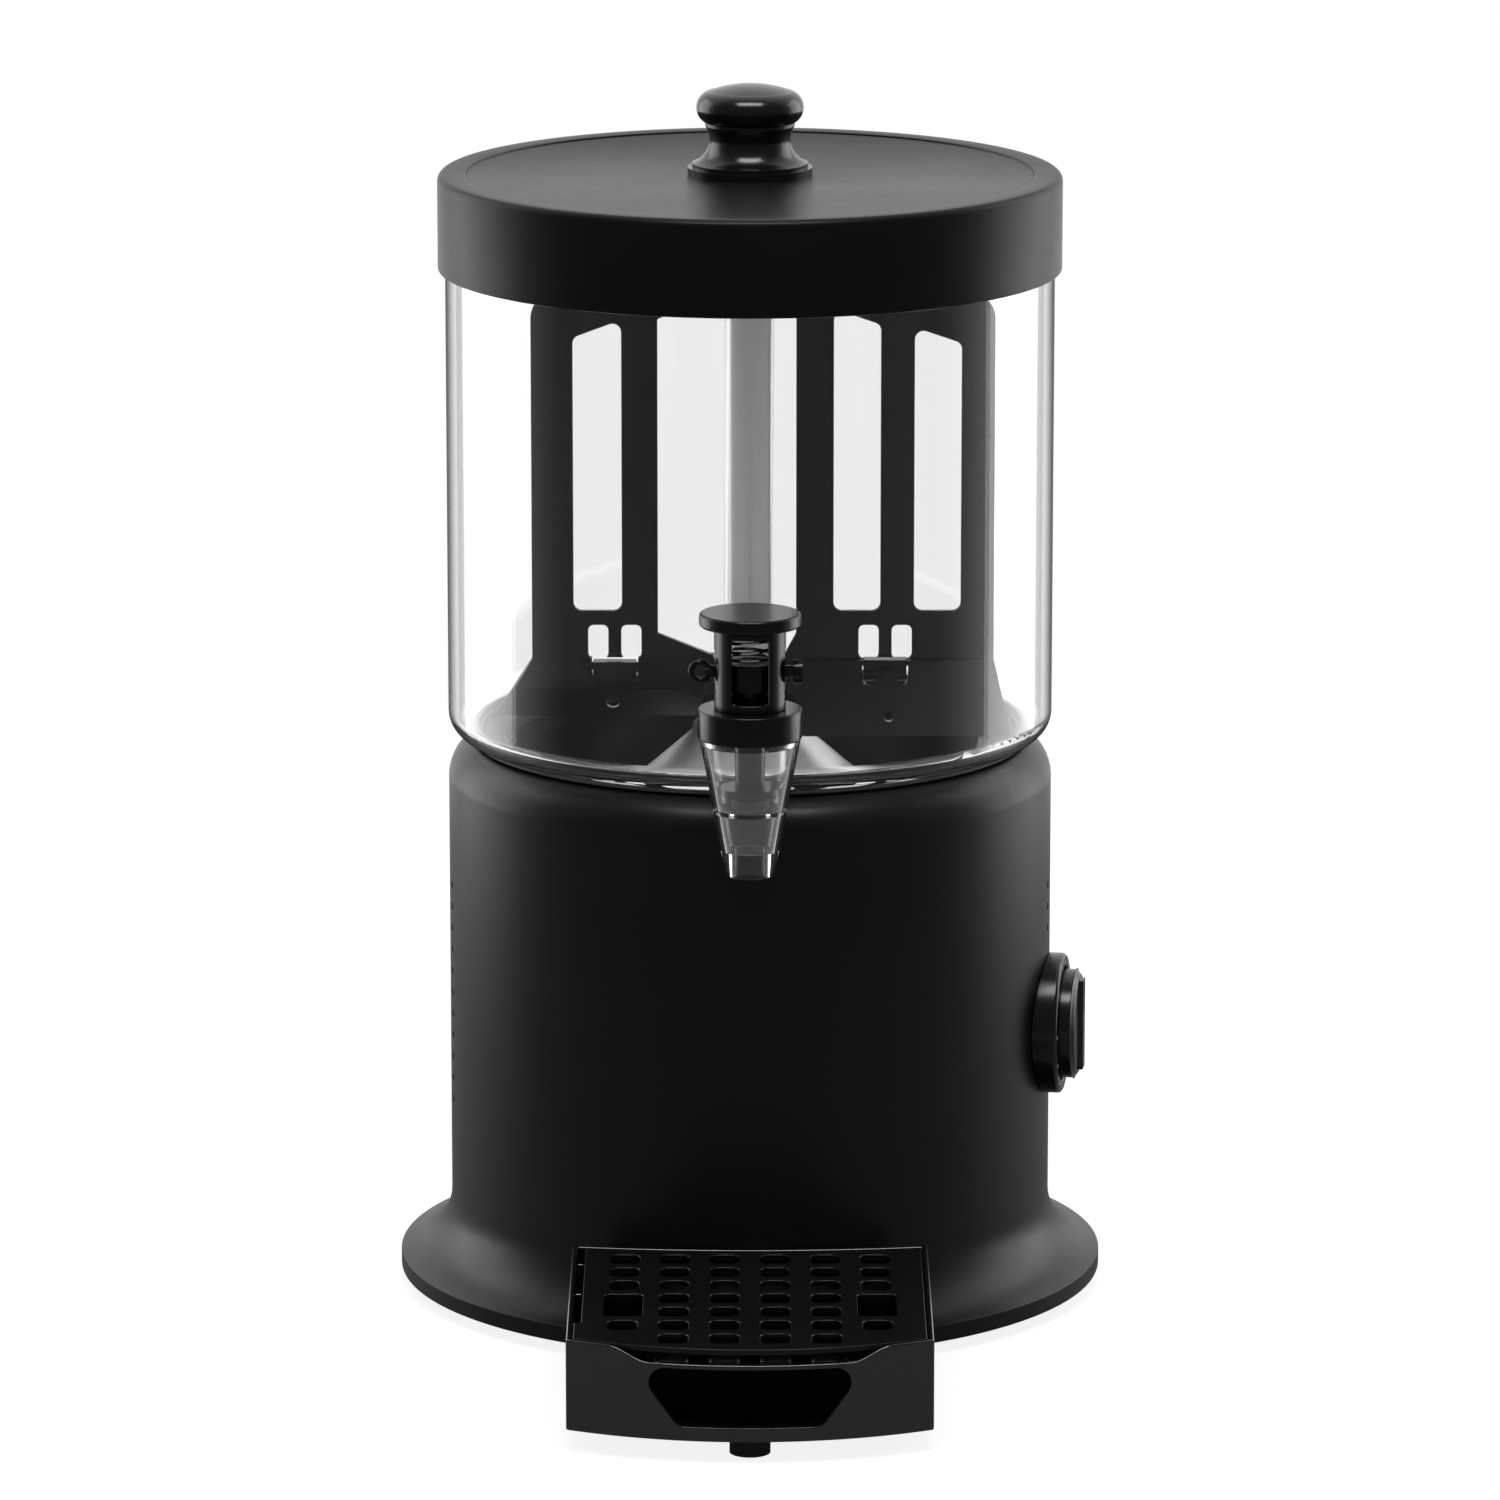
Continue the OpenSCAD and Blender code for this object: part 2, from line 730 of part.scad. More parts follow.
// Outline of a wing: an upright panel and a bar that slopes up to the collar
module wing_outline(in_r, out_r) {
    shoulder = collar_top - 17;
    bar_r = 8;
    rounded_outline([[in_r + 3, wing_foot + 14], [out_r - 3, wing_foot + 14],
        [out_r - 3, shoulder - 14], [in_r + 3, collar_top - 20]], 3);
    rounded_outline([[collar_d / 2, collar_top - 1.5 - bar_r], [out_r - bar_r, shoulder - bar_r - 6],
        [out_r - bar_r, shoulder - bar_r], [collar_d / 2, collar_top - 0.5 - bar_r]], bar_r);
}

// Foot of a wing: it joins the lower ring and spreads outwards
module wing_foot_outline(in_r, out_r) {
    spread = (scraper_out_x - out_r) * (scraper_top - wing_foot) / (scraper_top - scraper_foot);
    polygon([[collar_d / 2 - 2, ring_foot + ring_h - 0.5], [collar_d / 2 - 2, ring_foot],
        [collar_d / 2 + 4, wing_foot], [out_r + spread, wing_foot], [out_r, scraper_top],
        [out_r, wing_foot + 20], [in_r, wing_foot + 20]]);
}

module wing_slot(x0, x1, top0, top1) {
    r = slot_round;
    rounded_outline([[x0 + r, slot_foot + r], [x1 - r, slot_foot + r], [x1 - r, top1 - r],
        [x0 + r, top0 - r]], r);
}

// Two small windows above a scraper's clip, and the notch that the clip sits in
module clip_windows() {
    for (s = [0, 1]) mirror([s, 0]) rounded_rect(window_bar / 2, window_foot, window_bar / 2 + window_w,
        window_foot + window_h, 2);
    translate([-clip_w / 2 - gap, window_foot - 8]) square([clip_w + 2 * gap, 8.5]);
}

module wing_plate() {
    rotate([90, 0, 0]) translate([0, 0, -frame_t / 2]) linear_extrude(frame_t) children();
}

module paddle_frame() {
    slot_top = collar_top - 27;
    bar = 11.6;
    right_slot = (wing_r - wing_in - bar - 11.7 - 13) / 2;
    color([0.06, 0.06, 0.065]) difference() {
        union() {
            wing_plate() difference() {
                union() {
                    wing_outline(wing_in, wing_r);
                    wing_foot_outline(wing_in, wing_r);
                }
                wing_slot(wing_in + 13, wing_in + 13 + right_slot, slot_top + 4, slot_top + 0.5);
                wing_slot(wing_r - bar - right_slot, wing_r - bar, slot_top - 2.5, slot_top - 6);
                translate([clip_x, 0]) clip_windows();
            }
            mirror([1, 0, 0]) wing_plate() difference() {
                union() {
                    wing_outline(wing_left_in, wing_left_r);
                    wing_foot_outline(wing_left_in, wing_left_r);
                }
                wing_slot(wing_left_in + 12.5, wing_left_r - 14.5, slot_top, slot_top - 4);
                translate([clip_x, 0]) clip_windows();
            }
            translate([0, 0, collar_top - collar_h]) cylinder(d = collar_d, h = collar_h);
            translate([0, 0, ring_foot]) cylinder(d = collar_d, h = ring_h);
            translate([0, collar_bore / 2 + tab_t, 0]) rotate([90, 0, 0]) linear_extrude(tab_t)
                rounded_rect(-tab_w / 2, collar_top - collar_h / 2, tab_w / 2, collar_top + tab_rise, 2);
        }
        translate([0, 0, ring_foot - 20]) cylinder(d = collar_bore, h = collar_top - ring_foot + 20 + over);
        translate([0, 0, peg_z]) rod_y(peg_d + 0.2, collar_bore / 2 - over, collar_bore / 2 + tab_t + over);
    }
}

// Scraper that leans away from the front of the frame's right wing and clips through it
module scraper(top_r, hole_d) {
    face = -frame_t / 2;
    clip_z = window_foot - 7.5;
    lean = over * (scraper_out_x - top_r) / (scraper_top - scraper_foot);
    color([0.04, 0.04, 0.045]) difference() {
        union() {
            difference() {
                intersection() {
                    rotate([90, 0, 90]) linear_extrude(sweep_r) polygon([[face, scraper_top],
                        [face - scraper_t, scraper_top], [-scraper_out_y, scraper_foot],
                        [-scraper_out_y + scraper_t, scraper_foot], [face, scraper_top - 5]]);
                    translate([0, over, 0]) rotate([90, 0, 0]) linear_extrude(sweep_r) polygon([
                        [collar_d / 2 + 1, scraper_top + over], [collar_d / 2 + 1, scraper_top - 8],
                        [collar_d / 2 + 5, scraper_foot - over], [scraper_out_x + lean, scraper_foot - over],
                        [top_r - lean, scraper_top + over]]);
                }
                translate([0, over, 0]) rotate([90, 0, 0]) linear_extrude(sweep_r) rounded_rect(
                    clip_x - clip_w / 2 - gap, clip_z - 1, clip_x + clip_w / 2 + gap, scraper_top + 5, 3);
            }
            translate([clip_x - hook_w / 2, face - 8, clip_z - 2]) cube([hook_w, 8, 6]);
            translate([clip_x - clip_w / 2, face, clip_z]) cube([clip_w, frame_t + 3.5, 7]);
            translate([0, -face + 2, window_foot - 2])
                rod_x(2.8, clip_x - clip_w / 2 - 4, clip_x + clip_w / 2 + 4);
        }
        translate([clip_x + 1, 0, scraper_foot + 6]) rod_y(hole_d, -scraper_out_y - over, face - 4.5);
    }
}

module scraper_right() {
    scraper(wing_r, 3);
}

module scraper_left() {
    rotate(180) scraper(wing_left_r, 5);
}

// ---------- bowl ----------

module bowl() {
    rim = bowl_wall / 2;
    color([0.8, 0.84, 0.86, 0.35]) difference() {
        rotate_extrude() difference() {
            union() {
                cup_profile(bowl_r, seal_top, bowl_top - rim, bowl_corner_r);
                translate([bowl_r - rim, bowl_top - rim]) circle(rim, $fn = 32);
            }
            cup_profile(bowl_in_r, seal_top + bowl_lip_h, bowl_top - rim + over / 4,
                bowl_corner_r - bowl_wall);
            translate([-over, seal_top - over]) square([bowl_lip_r + over, bowl_lip_h + 3 * over]);
        }
        translate([0, 0, inlet_z]) rod_y(stub_d, -bowl_r - over, -bowl_in_r + over);
    }
}

// Seal between the base's rim and the bowl: a flat ring, an edge down into the well and
// an upright edge inside the bowl's lip
module bowl_seal() {
    spigot_r = well_r - gap;
    upright_r = bowl_lip_r - gap;
    color([0.12, 0.12, 0.12]) {
        ring(2 * (bowl_r - bowl_corner_r), 2 * (spigot_r - 1.5), seal_t, crest);
        ring(2 * spigot_r, 2 * (spigot_r - 1.5), 4 + seal_t / 2, crest - 4);
        ring(2 * upright_r, 2 * (upright_r - 1), 2.5 + seal_t / 2, crest + seal_t / 2);
    }
}

// ---------- tap ----------

module at_tap(z = 0) {
    translate([0, tap_y, z]) children();
}

// Outside radius of the nozzle's cone at height z
function nozzle_r(z) =
    let(top_r = tap_collar_d / 2 - 0.5, foot_r = tip_d / 2 + 1.6)
    foot_r + (top_r - foot_r) * (z - nozzle_foot) / (nozzle_top - nozzle_foot);

// Collar with the valve's chamber, and the threaded inlet through the bowl's wall
module tap_body() {
    color([0.05, 0.05, 0.055]) difference() {
        union() {
            at_tap(inlet_z - collar_half) cylinder(d = tap_collar_d, h = 2 * collar_half);
            translate([0, 0, inlet_z]) rod_y(tap_flange_d, tap_y + tap_collar_d / 2 - 3, -bowl_r - 1.2);
            translate([0, 0, inlet_z]) rod_y(stub_d, tap_y + tap_collar_d / 2 - 3, stub_in - 1 - bowl_in_r);
        }
        at_tap(inlet_z - collar_half - over) cylinder(r = chamber_r, h = 2 * collar_half - 2 + over);
        at_tap(inlet_z) cylinder(d = stem_d + 2 * 0.3, h = collar_half + over);
        at_tap(nozzle_top - stub_d) cylinder(r = nozzle_r(nozzle_top) + 0.3, h = stub_d);
        translate([0, 0, inlet_z]) rod_y(stub_bore, tap_y, stub_in - bowl_in_r);
    }
}

// Clear nozzle that hangs from the collar, with the valve's seat and the narrow tip
module tap_nozzle() {
    neck_r = chamber_r - 0.1;
    hole_r = tip_d / 2 - nozzle_wall;
    seat_r = plug_d / 2 - 1;
    color([0.85, 0.88, 0.9, 0.4]) difference() {
        at_tap() rotate_extrude() polygon([
            [hole_r, nozzle_foot - tip_h],
            [tip_d / 2, nozzle_foot - tip_h],
            [nozzle_r(nozzle_foot), nozzle_foot],
            [nozzle_r(nozzle_top), nozzle_top],
            [neck_r, nozzle_top],
            [neck_r, nozzle_top + 4],
            [neck_r - nozzle_wall, nozzle_top + 4],
            [neck_r - nozzle_wall, nozzle_top - 2],
            [nozzle_r(nozzle_top - 2) - nozzle_wall, nozzle_top - 2],
            [nozzle_r(seat_z) - nozzle_wall, seat_z],
            [seat_r, seat_z],
            [seat_r, seat_z - seat_t],
            [nozzle_r(seat_z - seat_t) - nozzle_wall, seat_z - seat_t],
            [nozzle_r(nozzle_foot + 1.5) - nozzle_wall, nozzle_foot + 1.5],
            [hole_r, nozzle_foot + 1.5]]);
        translate([0, 0, inlet_z]) rod_y(stub_bore, tap_y, -bowl_r);
    }
}

// Cage over the collar, with a window front and back and a slot each side for the pin
module tap_cage() {
    color([0.05, 0.05, 0.055]) difference() {
        at_tap() ring(cage_d, cage_bore, cage_h, tap_top);
        translate([-cage_d / 4, tap_y - cage_d, tap_top + 3]) cube([cage_d / 2, 2 * cage_d, cage_h - 6]);
        translate([-cage_d, tap_y - pin_d / 2 - 0.3, pin_z - pin_d / 2 - 0.3])
            cube([2 * cage_d, pin_d + 0.6, tap_lift + pin_d + 0.6]);
    }
}

module tap_cap() {
    color([0.05, 0.05, 0.055]) at_tap(tap_top + cage_h) {
        rotate_extrude() {
            square([cap_disc_d / 2 - 1, cap_disc_h]);
            translate([0, 1]) square([cap_disc_d / 2, cap_disc_h - 2]);
            for (z = [1, cap_disc_h - 1]) translate([cap_disc_d / 2 - 1, z]) circle(1, $fn = 32);
        }
        translate([0, 0, -2]) cylinder(d = cage_bore, h = 3);
    }
}

// Washers that fit the bowl's wall outside and inside
module tap_washers() {
    color([0.2, 0.2, 0.2]) {
        difference() {
            translate([0, 0, inlet_z]) rod_y(tap_flange_d, -bowl_r - 1.2, -bowl_r + 3);
            translate([0, 0, seal_top]) cylinder(r = bowl_r, h = bowl_h);
            translate([0, 0, inlet_z]) rod_y(stub_d, -bowl_r - 2, -bowl_r + 4);
        }
        intersection() {
            difference() {
                translate([0, 0, inlet_z]) rod_y(tap_flange_d, -bowl_in_r - 1, -bowl_in_r + 2);
                translate([0, 0, inlet_z]) rod_y(stub_d, -bowl_in_r - 2, -bowl_in_r + 3);
            }
            translate([0, 0, seal_top]) cylinder(r = bowl_in_r, h = bowl_h);
        }
    }
}

module tap_nut() {
    color([0.08, 0.08, 0.085]) translate([0, 0, inlet_z]) difference() {
        translate([0, -bowl_in_r + 2, 0]) rotate([-90, 0, 0])
            cylinder(d = tap_flange_d + 0.4, h = 6, $fn = 6);
        rod_y(stub_d, -bowl_in_r + 1, stub_in - 1 - bowl_in_r);
    }
}

// Return spring between the stem's head and the cap
module tap_spring() {
    coils = 5;
    z1 = tap_top + cage_h - 2;
    pitch = (z1 - head_top - spring_wire) / (coils - 1);
    color([0.75, 0.76, 0.78]) at_tap(head_top) for (i = [0:coils - 1])
        translate([0, 0, spring_wire / 2 + i * pitch]) rotate_extrude()
            translate([cage_bore / 2 - 2.2, 0]) circle(spring_wire / 2, $fn = 16);
}

module tap_stem() {
    flange_z = seat_z + plug_h + 1.5;
    color([0.05, 0.05, 0.055]) difference() {
        at_tap() {
            translate([0, 0, head_foot]) cylinder(d = cage_bore - 0.8, h = head_top - head_foot);
            translate([0, 0, flange_z]) cylinder(d = stem_d, h = head_foot - flange_z);
            translate([0, 0, flange_z]) cylinder(d = 2 * stem_d, h = 2.5);
            translate([0, 0, seat_z + plug_h]) cylinder(d = stem_d - 3, h = 2);
            translate([0, 0, seat_z + 1]) cylinder(d = 4, h = plug_h);
        }
        at_tap(pin_z) rod_x(pin_d, -cage_d, cage_d);
    }
}

module tap_plug() {
    color([0.15, 0.15, 0.15]) at_tap(seat_z) difference() {
        rotate_extrude() {
            square([plug_d / 2 - 0.8, plug_h]);
            translate([0, 0.8]) square([plug_d / 2, plug_h - 0.8]);
            translate([plug_d / 2 - 0.8, 0.8]) circle(0.8, $fn = 32);
        }
        translate([0, 0, 1]) cylinder(d = 4, h = plug_h);
    }
}

// Place of the ring through the pin's free end
module at_clip() {
    at_tap(pin_z) translate([-pin_reach - 1.6, 0, 0]) rotate([90, 0, 0]) children();
}

module clip_ring(d) {
    rotate_extrude() translate([3, 0]) circle(d = d, $fn = 24);
}

// Cross pin through the stem, with a head on one end and an eye in the other
module tap_pin() {
    color([0.05, 0.05, 0.055]) difference() {
        at_tap(pin_z) {
            rod_x(pin_d, -pin_reach, pin_reach);
            rod_x(2 * pin_d, pin_reach - 0.5, pin_reach + 2.5);
        }
        at_clip() clip_ring(2.2);
    }
}

module tap_clip() {
    color([0.05, 0.05, 0.055]) at_clip() clip_ring(2);
}

// ---------- lid ----------

module lid_shell() {
    cavity_r = bowl_in_r - gap;
    color([0.06, 0.06, 0.065]) difference() {
        rotate_extrude() difference() {
            union() {
                translate([0, lid_foot]) square([lid_r, lid_h - lid_round]);
                translate([0, lid_foot]) square([lid_r - lid_round, lid_h]);
                translate([lid_r - lid_round, lid_top - lid_round]) circle(lid_round, $fn = 48);
            }
            translate([-over, lid_foot - over]) square([lid_in_r + over, lid_overlap + over]);
            translate([-over, lid_foot]) square([cavity_r - lid_wall + over, lid_h / 2]);
            translate([-over, bowl_top + ledge_h])
                square([lid_in_r - 1 + over, lid_h - lid_overlap - ledge_h - lid_plate - lid_recess]);
            translate([-over, lid_top - lid_recess]) square([lid_r - 10 + over, lid_recess + over]);
        }
        translate([0, 0, lid_foot]) cylinder(d = screw_d, h = lid_h + over);
    }
    color([0.06, 0.06, 0.065]) ring(2 * cavity_r, 2 * (cavity_r - lid_wall), 5 + ledge_h, bowl_top - 5);
}

// Mushroom knob: flared foot, waisted neck and rounded head
module lid_knob() {
    head_x = knob_d / 2 - knob_head_r;
    head_z = knob_h - 8;
    foot_r = knob_d / 2 + 3;
    waist = 8.5;
    blend_r = knob_head_r - 0.1;
    rise = knob_h - head_z;
    dome_r = (head_x * head_x + rise * rise - blend_r * blend_r) / (2 * (rise - blend_r));
    color([0.04, 0.04, 0.045]) translate([0, 0, lid_top - lid_recess]) difference() {
        rotate_extrude() {
            translate([0, head_z - knob_head_r]) square([head_x, 2 * knob_head_r]);
            translate([head_x, head_z]) circle(knob_head_r, $fn = 48);
            intersection() {
                translate([0, head_z]) square([head_x + 1, rise]);
                translate([0, knob_h - dome_r]) circle(dome_r);
            }
            difference() {
                square([foot_r, head_z]);
                translate([knob_neck_r + waist, 12]) circle(waist, $fn = 64);
                translate([knob_d / 2 + 2, 12]) square([foot_r, head_z]);
                translate([foot_r - 1.5, 2.5]) square(head_z);
                translate([knob_neck_r + 1.5, 14]) square([foot_r, head_z]);
            }
        }
        translate([0, 0, -over]) cylinder(d = screw_d, h = 12 + over);
    }
}

module lid_screw() {
    color([0.75, 0.75, 0.77]) translate([0, 0, lid_top - lid_recess - lid_plate]) screw_up(lid_plate + 10);
}

// ---------- drip tray ----------

// Plan of the tray, drawn in from its walls by inset
module tray_plan(inset = 0) {
    half = tray_w / 2;
    front_r = (half * half + tray_bow * tray_bow) / (2 * tray_bow);
    rear_r = (half * half + rear_bow * rear_bow) / (2 * rear_bow);
    difference() {
        intersection() {
            translate([-half + inset, tray_front]) square([tray_w - 2 * inset, -tray_front]);
            translate([0, tray_front + front_r]) circle(front_r - inset);
        }
        translate([0, tray_rear + rear_r]) circle(rear_r + inset);
    }
}

// The dip in the tray's front edge, with a soft curve down from each side
module lip_cut() {
    steps = 8;
    fall = [for (i = [0:steps])
        [scoop_w / 2 + lip_run * i / steps, tray_top - lip_dip * (1 + cos(180 * i / steps)) / 2]];
    translate([0, tray_front + 24, 0]) rotate([90, 0, 0]) linear_extrude(24 + over)
        polygon([for (p = fall) p, [scoop_w / 2 + lip_run, tray_top + over],
            [-scoop_w / 2 - lip_run, tray_top + over],
            for (i = [0:steps]) [-fall[steps - i][0], fall[steps - i][1]]]);
}

// Finger scoop under the front edge, narrower at its foot
module scoop(grow = 0) {
    r = scoop_round + grow;
    half = scoop_w / 2 + grow - r;
    foot = peg_h + 5 - grow + r;
    top = tray_top - lip_dip - lip_t + grow - r;
    translate([0, tray_front + scoop_depth + grow, 0]) rotate([90, 0, 0])
        linear_extrude(scoop_depth + 1 + grow) rounded_outline([[scoop_draw - half, foot],
            [half - scoop_draw, foot], [half, top], [-half, top]], r);
}

module grid_ribs() {
    h = tray_top - grid_t - peg_h;
    for (s = [-1, 1], y = [0:2]) translate([s * (tray_w / 2 - tray_wall) - (s > 0 ? 2.5 : 0),
        tray_rear - 12 - y * 36, peg_h]) cube([2.5, 1.6, h]);
    for (x = [-45, -22, 22, 45]) translate([x, tray_front + tray_wall, peg_h]) cube([1.6, 12, h]);
}

module drip_tray() {
    color([0.05, 0.05, 0.055]) {
        difference() {
            union() {
                difference() {
                    translate([0, 0, peg_h]) linear_extrude(tray_top - peg_h) tray_plan();
                    difference() {
                        translate([0, 0, peg_h + tray_wall]) linear_extrude(tray_top) tray_plan(tray_wall);
                        cylinder(r = under_r + tray_wall, h = shelf_z + tray_wall);
                    }
                }
                intersection() {
                    union() {
                        grid_ribs();
                        scoop(tray_wall);
                    }
                    translate([0, 0, peg_h]) linear_extrude(tray_top - grid_t - peg_h)
                        tray_plan(tray_wall / 2);
                }
            }
            cylinder(r = under_r, h = shelf_z);
            lip_cut();
            scoop();
        }
        for (s = [-1, 1]) translate([s * (tray_w / 2 - 14), -under_r - 2, 0])
            cylinder(d = pad_d, h = peg_h + over);
    }
}

module tray_peg() {
    color([0.04, 0.04, 0.045]) translate([0, tray_front + 13, 0]) {
        cylinder(d = 13.5, h = peg_h);
    }
}

// Perforated grid that lies in the tray's rim
module drip_grid() {
    rear = tray_rear - 12.5;
    color([0.05, 0.05, 0.055]) translate([0, 0, tray_top - grid_t]) linear_extrude(grid_t) {
        difference() {
            tray_plan(tray_wall + grid_gap);
            translate([-tray_w / 2, tray_rear - tray_depth * 0.78])
                square([tray_wall + grid_gap + 2.3, tray_depth]);
            for (c = [0:5], i = [0:6]) {
                x = (c - 2.5) * grid_pitch_x;
                y = rear - i * grid_pitch_y;
                edge = c == 0 || c == 5;
                if (!edge || i < 3 || i == 5)
                    rounded_rect(x - drain_w / 2, y - drain_w / 2 - 0.5,
                        x + drain_w / 2, y + drain_w / 2 + 0.5, 3);
                if (edge && i == 3)
                    rounded_rect(x - drain_w / 2 - 1.5, y - grid_pitch_y - drain_w / 2,
                        x + drain_w / 2 + 1.5, y + drain_w / 2, 2);
            }
        }
    }
}

base_housing();
base_plate();
base_plate_screws();
rubber_feet();
heating_pan();
pan_screws();
heater_plate();
heater_element();
thermal_cutout();
drive_cone();
column_foot_bush();
shaft_tube();
column_top_bush();
shaft_seal();
motor_bracket();
gearbox();
motor();
motor_screws();
thermostat_body();
dial_bezel();
terminal_block();
cord_gland();
output_shaft();
shaft_coupling();
drive_shaft();
shaft_cap();
paddle_frame();
scraper_left();
scraper_right();
bowl();
bowl_seal();
tap_body();
tap_nozzle();
tap_cage();
tap_cap();
tap_washers();
tap_nut();
tap_spring();
tap_stem();
tap_plug();
tap_pin();
tap_clip();
lid_shell();
lid_knob();
lid_screw();
dial_knob();
thermostat_spindle();
drip_tray();
tray_peg();
drip_grid();
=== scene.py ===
"""Looks of a heated, stirred drink dispenser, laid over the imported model."""
import json
from math import pi, radians, tau
import bmesh
import bpy
from mathutils import Matrix, Vector


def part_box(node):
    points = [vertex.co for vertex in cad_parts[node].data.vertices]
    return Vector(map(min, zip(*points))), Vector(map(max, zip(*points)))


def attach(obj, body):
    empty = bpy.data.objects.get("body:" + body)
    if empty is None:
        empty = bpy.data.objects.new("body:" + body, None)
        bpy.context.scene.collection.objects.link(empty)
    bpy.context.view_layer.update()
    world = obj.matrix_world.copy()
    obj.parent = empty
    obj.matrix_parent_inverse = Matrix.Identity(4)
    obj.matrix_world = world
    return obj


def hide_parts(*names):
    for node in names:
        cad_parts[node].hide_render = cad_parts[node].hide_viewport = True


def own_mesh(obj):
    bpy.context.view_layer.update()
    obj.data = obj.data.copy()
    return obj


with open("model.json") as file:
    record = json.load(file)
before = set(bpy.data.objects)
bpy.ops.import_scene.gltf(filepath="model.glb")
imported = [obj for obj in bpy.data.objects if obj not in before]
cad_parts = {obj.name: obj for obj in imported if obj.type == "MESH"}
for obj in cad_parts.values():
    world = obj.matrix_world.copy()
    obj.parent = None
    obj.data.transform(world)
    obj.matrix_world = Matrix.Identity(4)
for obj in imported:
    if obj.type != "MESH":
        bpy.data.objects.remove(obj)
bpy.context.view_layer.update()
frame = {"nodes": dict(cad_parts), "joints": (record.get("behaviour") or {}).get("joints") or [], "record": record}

scene = bpy.context.scene
nodes = frame["nodes"]
MM = 0.001

# ---------------------------------------------------------------------------
# Camera. It stands back on the centre line, a little above the lid, with a
# long lens, and the whole dispenser with its drip tray is in view.
# ---------------------------------------------------------------------------
camera_data = bpy.data.cameras.new("camera")
camera_data.lens = 203
camera_data.sensor_width = 36
camera = bpy.data.objects.new("camera", camera_data)
camera.location = (0, -2.88, 0.83)
aim = Vector((0, -0.045, 0.198))
camera.rotation_euler = (aim - camera.location).to_track_quat("-Z", "Y").to_euler()
scene.collection.objects.link(camera)
scene.camera = camera
scene.view_settings.view_transform = "Standard"


# ---------------------------------------------------------------------------
# Counter and studio. The counter is a plain pale sheet. Two tall softboxes
# stand at the sides and give the black parts their upright highlights; a small
# bright one overhead gives the lid, the tap and the tray their glints.
# ---------------------------------------------------------------------------
class Wire:
    """An output of a shader node. Arithmetic on wires adds their Math nodes."""

    def __init__(self, socket):
        self.socket = socket

    def node(self, kind, settings=None, values=None, output=0):
        """Adds a node, makes its settings, then fills its sockets with values or wires."""
        tree = self.socket.id_data
        made = tree.nodes.new(kind)
        for key, setting in (settings or {}).items():
            if key == "stops":
                points = made.color_ramp.elements
                for place, colour in setting[2:]:
                    points.new(place)
                for point, (place, colour) in zip(points, setting):
                    point.position = place
                    point.color = colour
            else:
                setattr(made, key, setting)
        for key, value in (values or {}).items():
            if isinstance(value, Wire):
                tree.links.new(value.socket, made.inputs[key])
            else:
                made.inputs[key].default_value = value
        return Wire(made.outputs[output]) if made.outputs else None

    def math(self, operation, *terms):
        return self.node("ShaderNodeMath", {"operation": operation}, dict(enumerate(terms)))

    def __add__(self, other):
        return self.math("ADD", self, other)

    __radd__ = __add__

    def __sub__(self, other):
        return self.math("SUBTRACT", self, other)

    def __rsub__(self, other):
        return self.math("SUBTRACT", other, self)

    def __mul__(self, other):
        return self.math("MULTIPLY", self, other)

    __rmul__ = __mul__

    def mix(self, low, high):
        """Goes from one colour to another as this wire goes from 0 to 1."""
        return self.node("ShaderNodeMix", {"data_type": "RGBA"}, {0: self, 6: low, 7: high}, 2)

    def rise(self, start_at, end_at, low, high):
        """Goes smoothly from low to high as this wire goes between two values."""
        return self.node("ShaderNodeMapRange", {"interpolation_type": "SMOOTHSTEP"}, {
            "Value": self, "From Min": start_at, "From Max": end_at, "To Min": low, "To Max": high})


def start(owner):
    """Clears a material's or the world's nodes and gives the place on the object, in metres."""
    owner.use_nodes = True
    owner.node_tree.nodes.clear()
    return Wire(owner.node_tree.nodes.new("ShaderNodeTexCoord").outputs["Object"])


def path(place, name):
    """One of the light path's facts: 1 or more where it holds, 0 where it doesn't."""
    return place.node("ShaderNodeLightPath", output=name)


# Straight sight, also through glass, shows a white studio. Gloss sees it white
# behind the dispenser and dim in front. Light itself comes at the ambient level.
AMBIENT = 0.3
DIM_FRONT = 0.13
DIM_TO, WHITE_FROM = -0.3, 0.5
world = bpy.data.worlds.new("studio")
scene.world = world
place = start(world)
direction = place.node("ShaderNodeTexCoord", output="Generated")
ahead = direction.node("ShaderNodeSeparateXYZ", values={0: direction}, output="Y")
backdrop = ahead.rise(DIM_TO, WHITE_FROM, DIM_FRONT, 1.0)
scattered = place.math("MINIMUM", path(place, "Diffuse Depth"), 1)
mirrored = place.math("MINIMUM", path(place, "Glossy Depth"), 1) * (1 - scattered)
direct = place.math("MAXIMUM", path(place, "Is Camera Ray"), path(place, "Is Transmission Ray"))
direct = direct * (1 - mirrored) * (1 - scattered)
light = place.math("MAXIMUM", direct, mirrored * backdrop)
light = place.math("MAXIMUM", light, (1 - mirrored) * AMBIENT)
place.node("ShaderNodeOutputWorld", values={"Surface": place.node(
    "ShaderNodeBackground", values={"Color": (1, 1, 1, 1), "Strength": light})})

# The counter glows for the eye alone, a little less close to the dispenser, so
# that it looks white and still shows the shadow. Gloss sees a small part of the glow.
COUNTER_R = 0.8
COUNTER_DROP = 0.2 * MM
GLOW_NEAR, NEAR_R, OPEN_R = 0.86, 0.16, 0.6
GLOW_IN_GLOSS = 0.06


def finished(form, name, material):
    """Makes a bmesh into an object that stands at the origin and wears a material."""
    mesh = bpy.data.meshes.new(name)
    form.to_mesh(mesh)
    form.free()
    mesh.materials.append(material)
    piece = bpy.data.objects.new(name, mesh)
    scene.collection.objects.link(piece)
    return piece


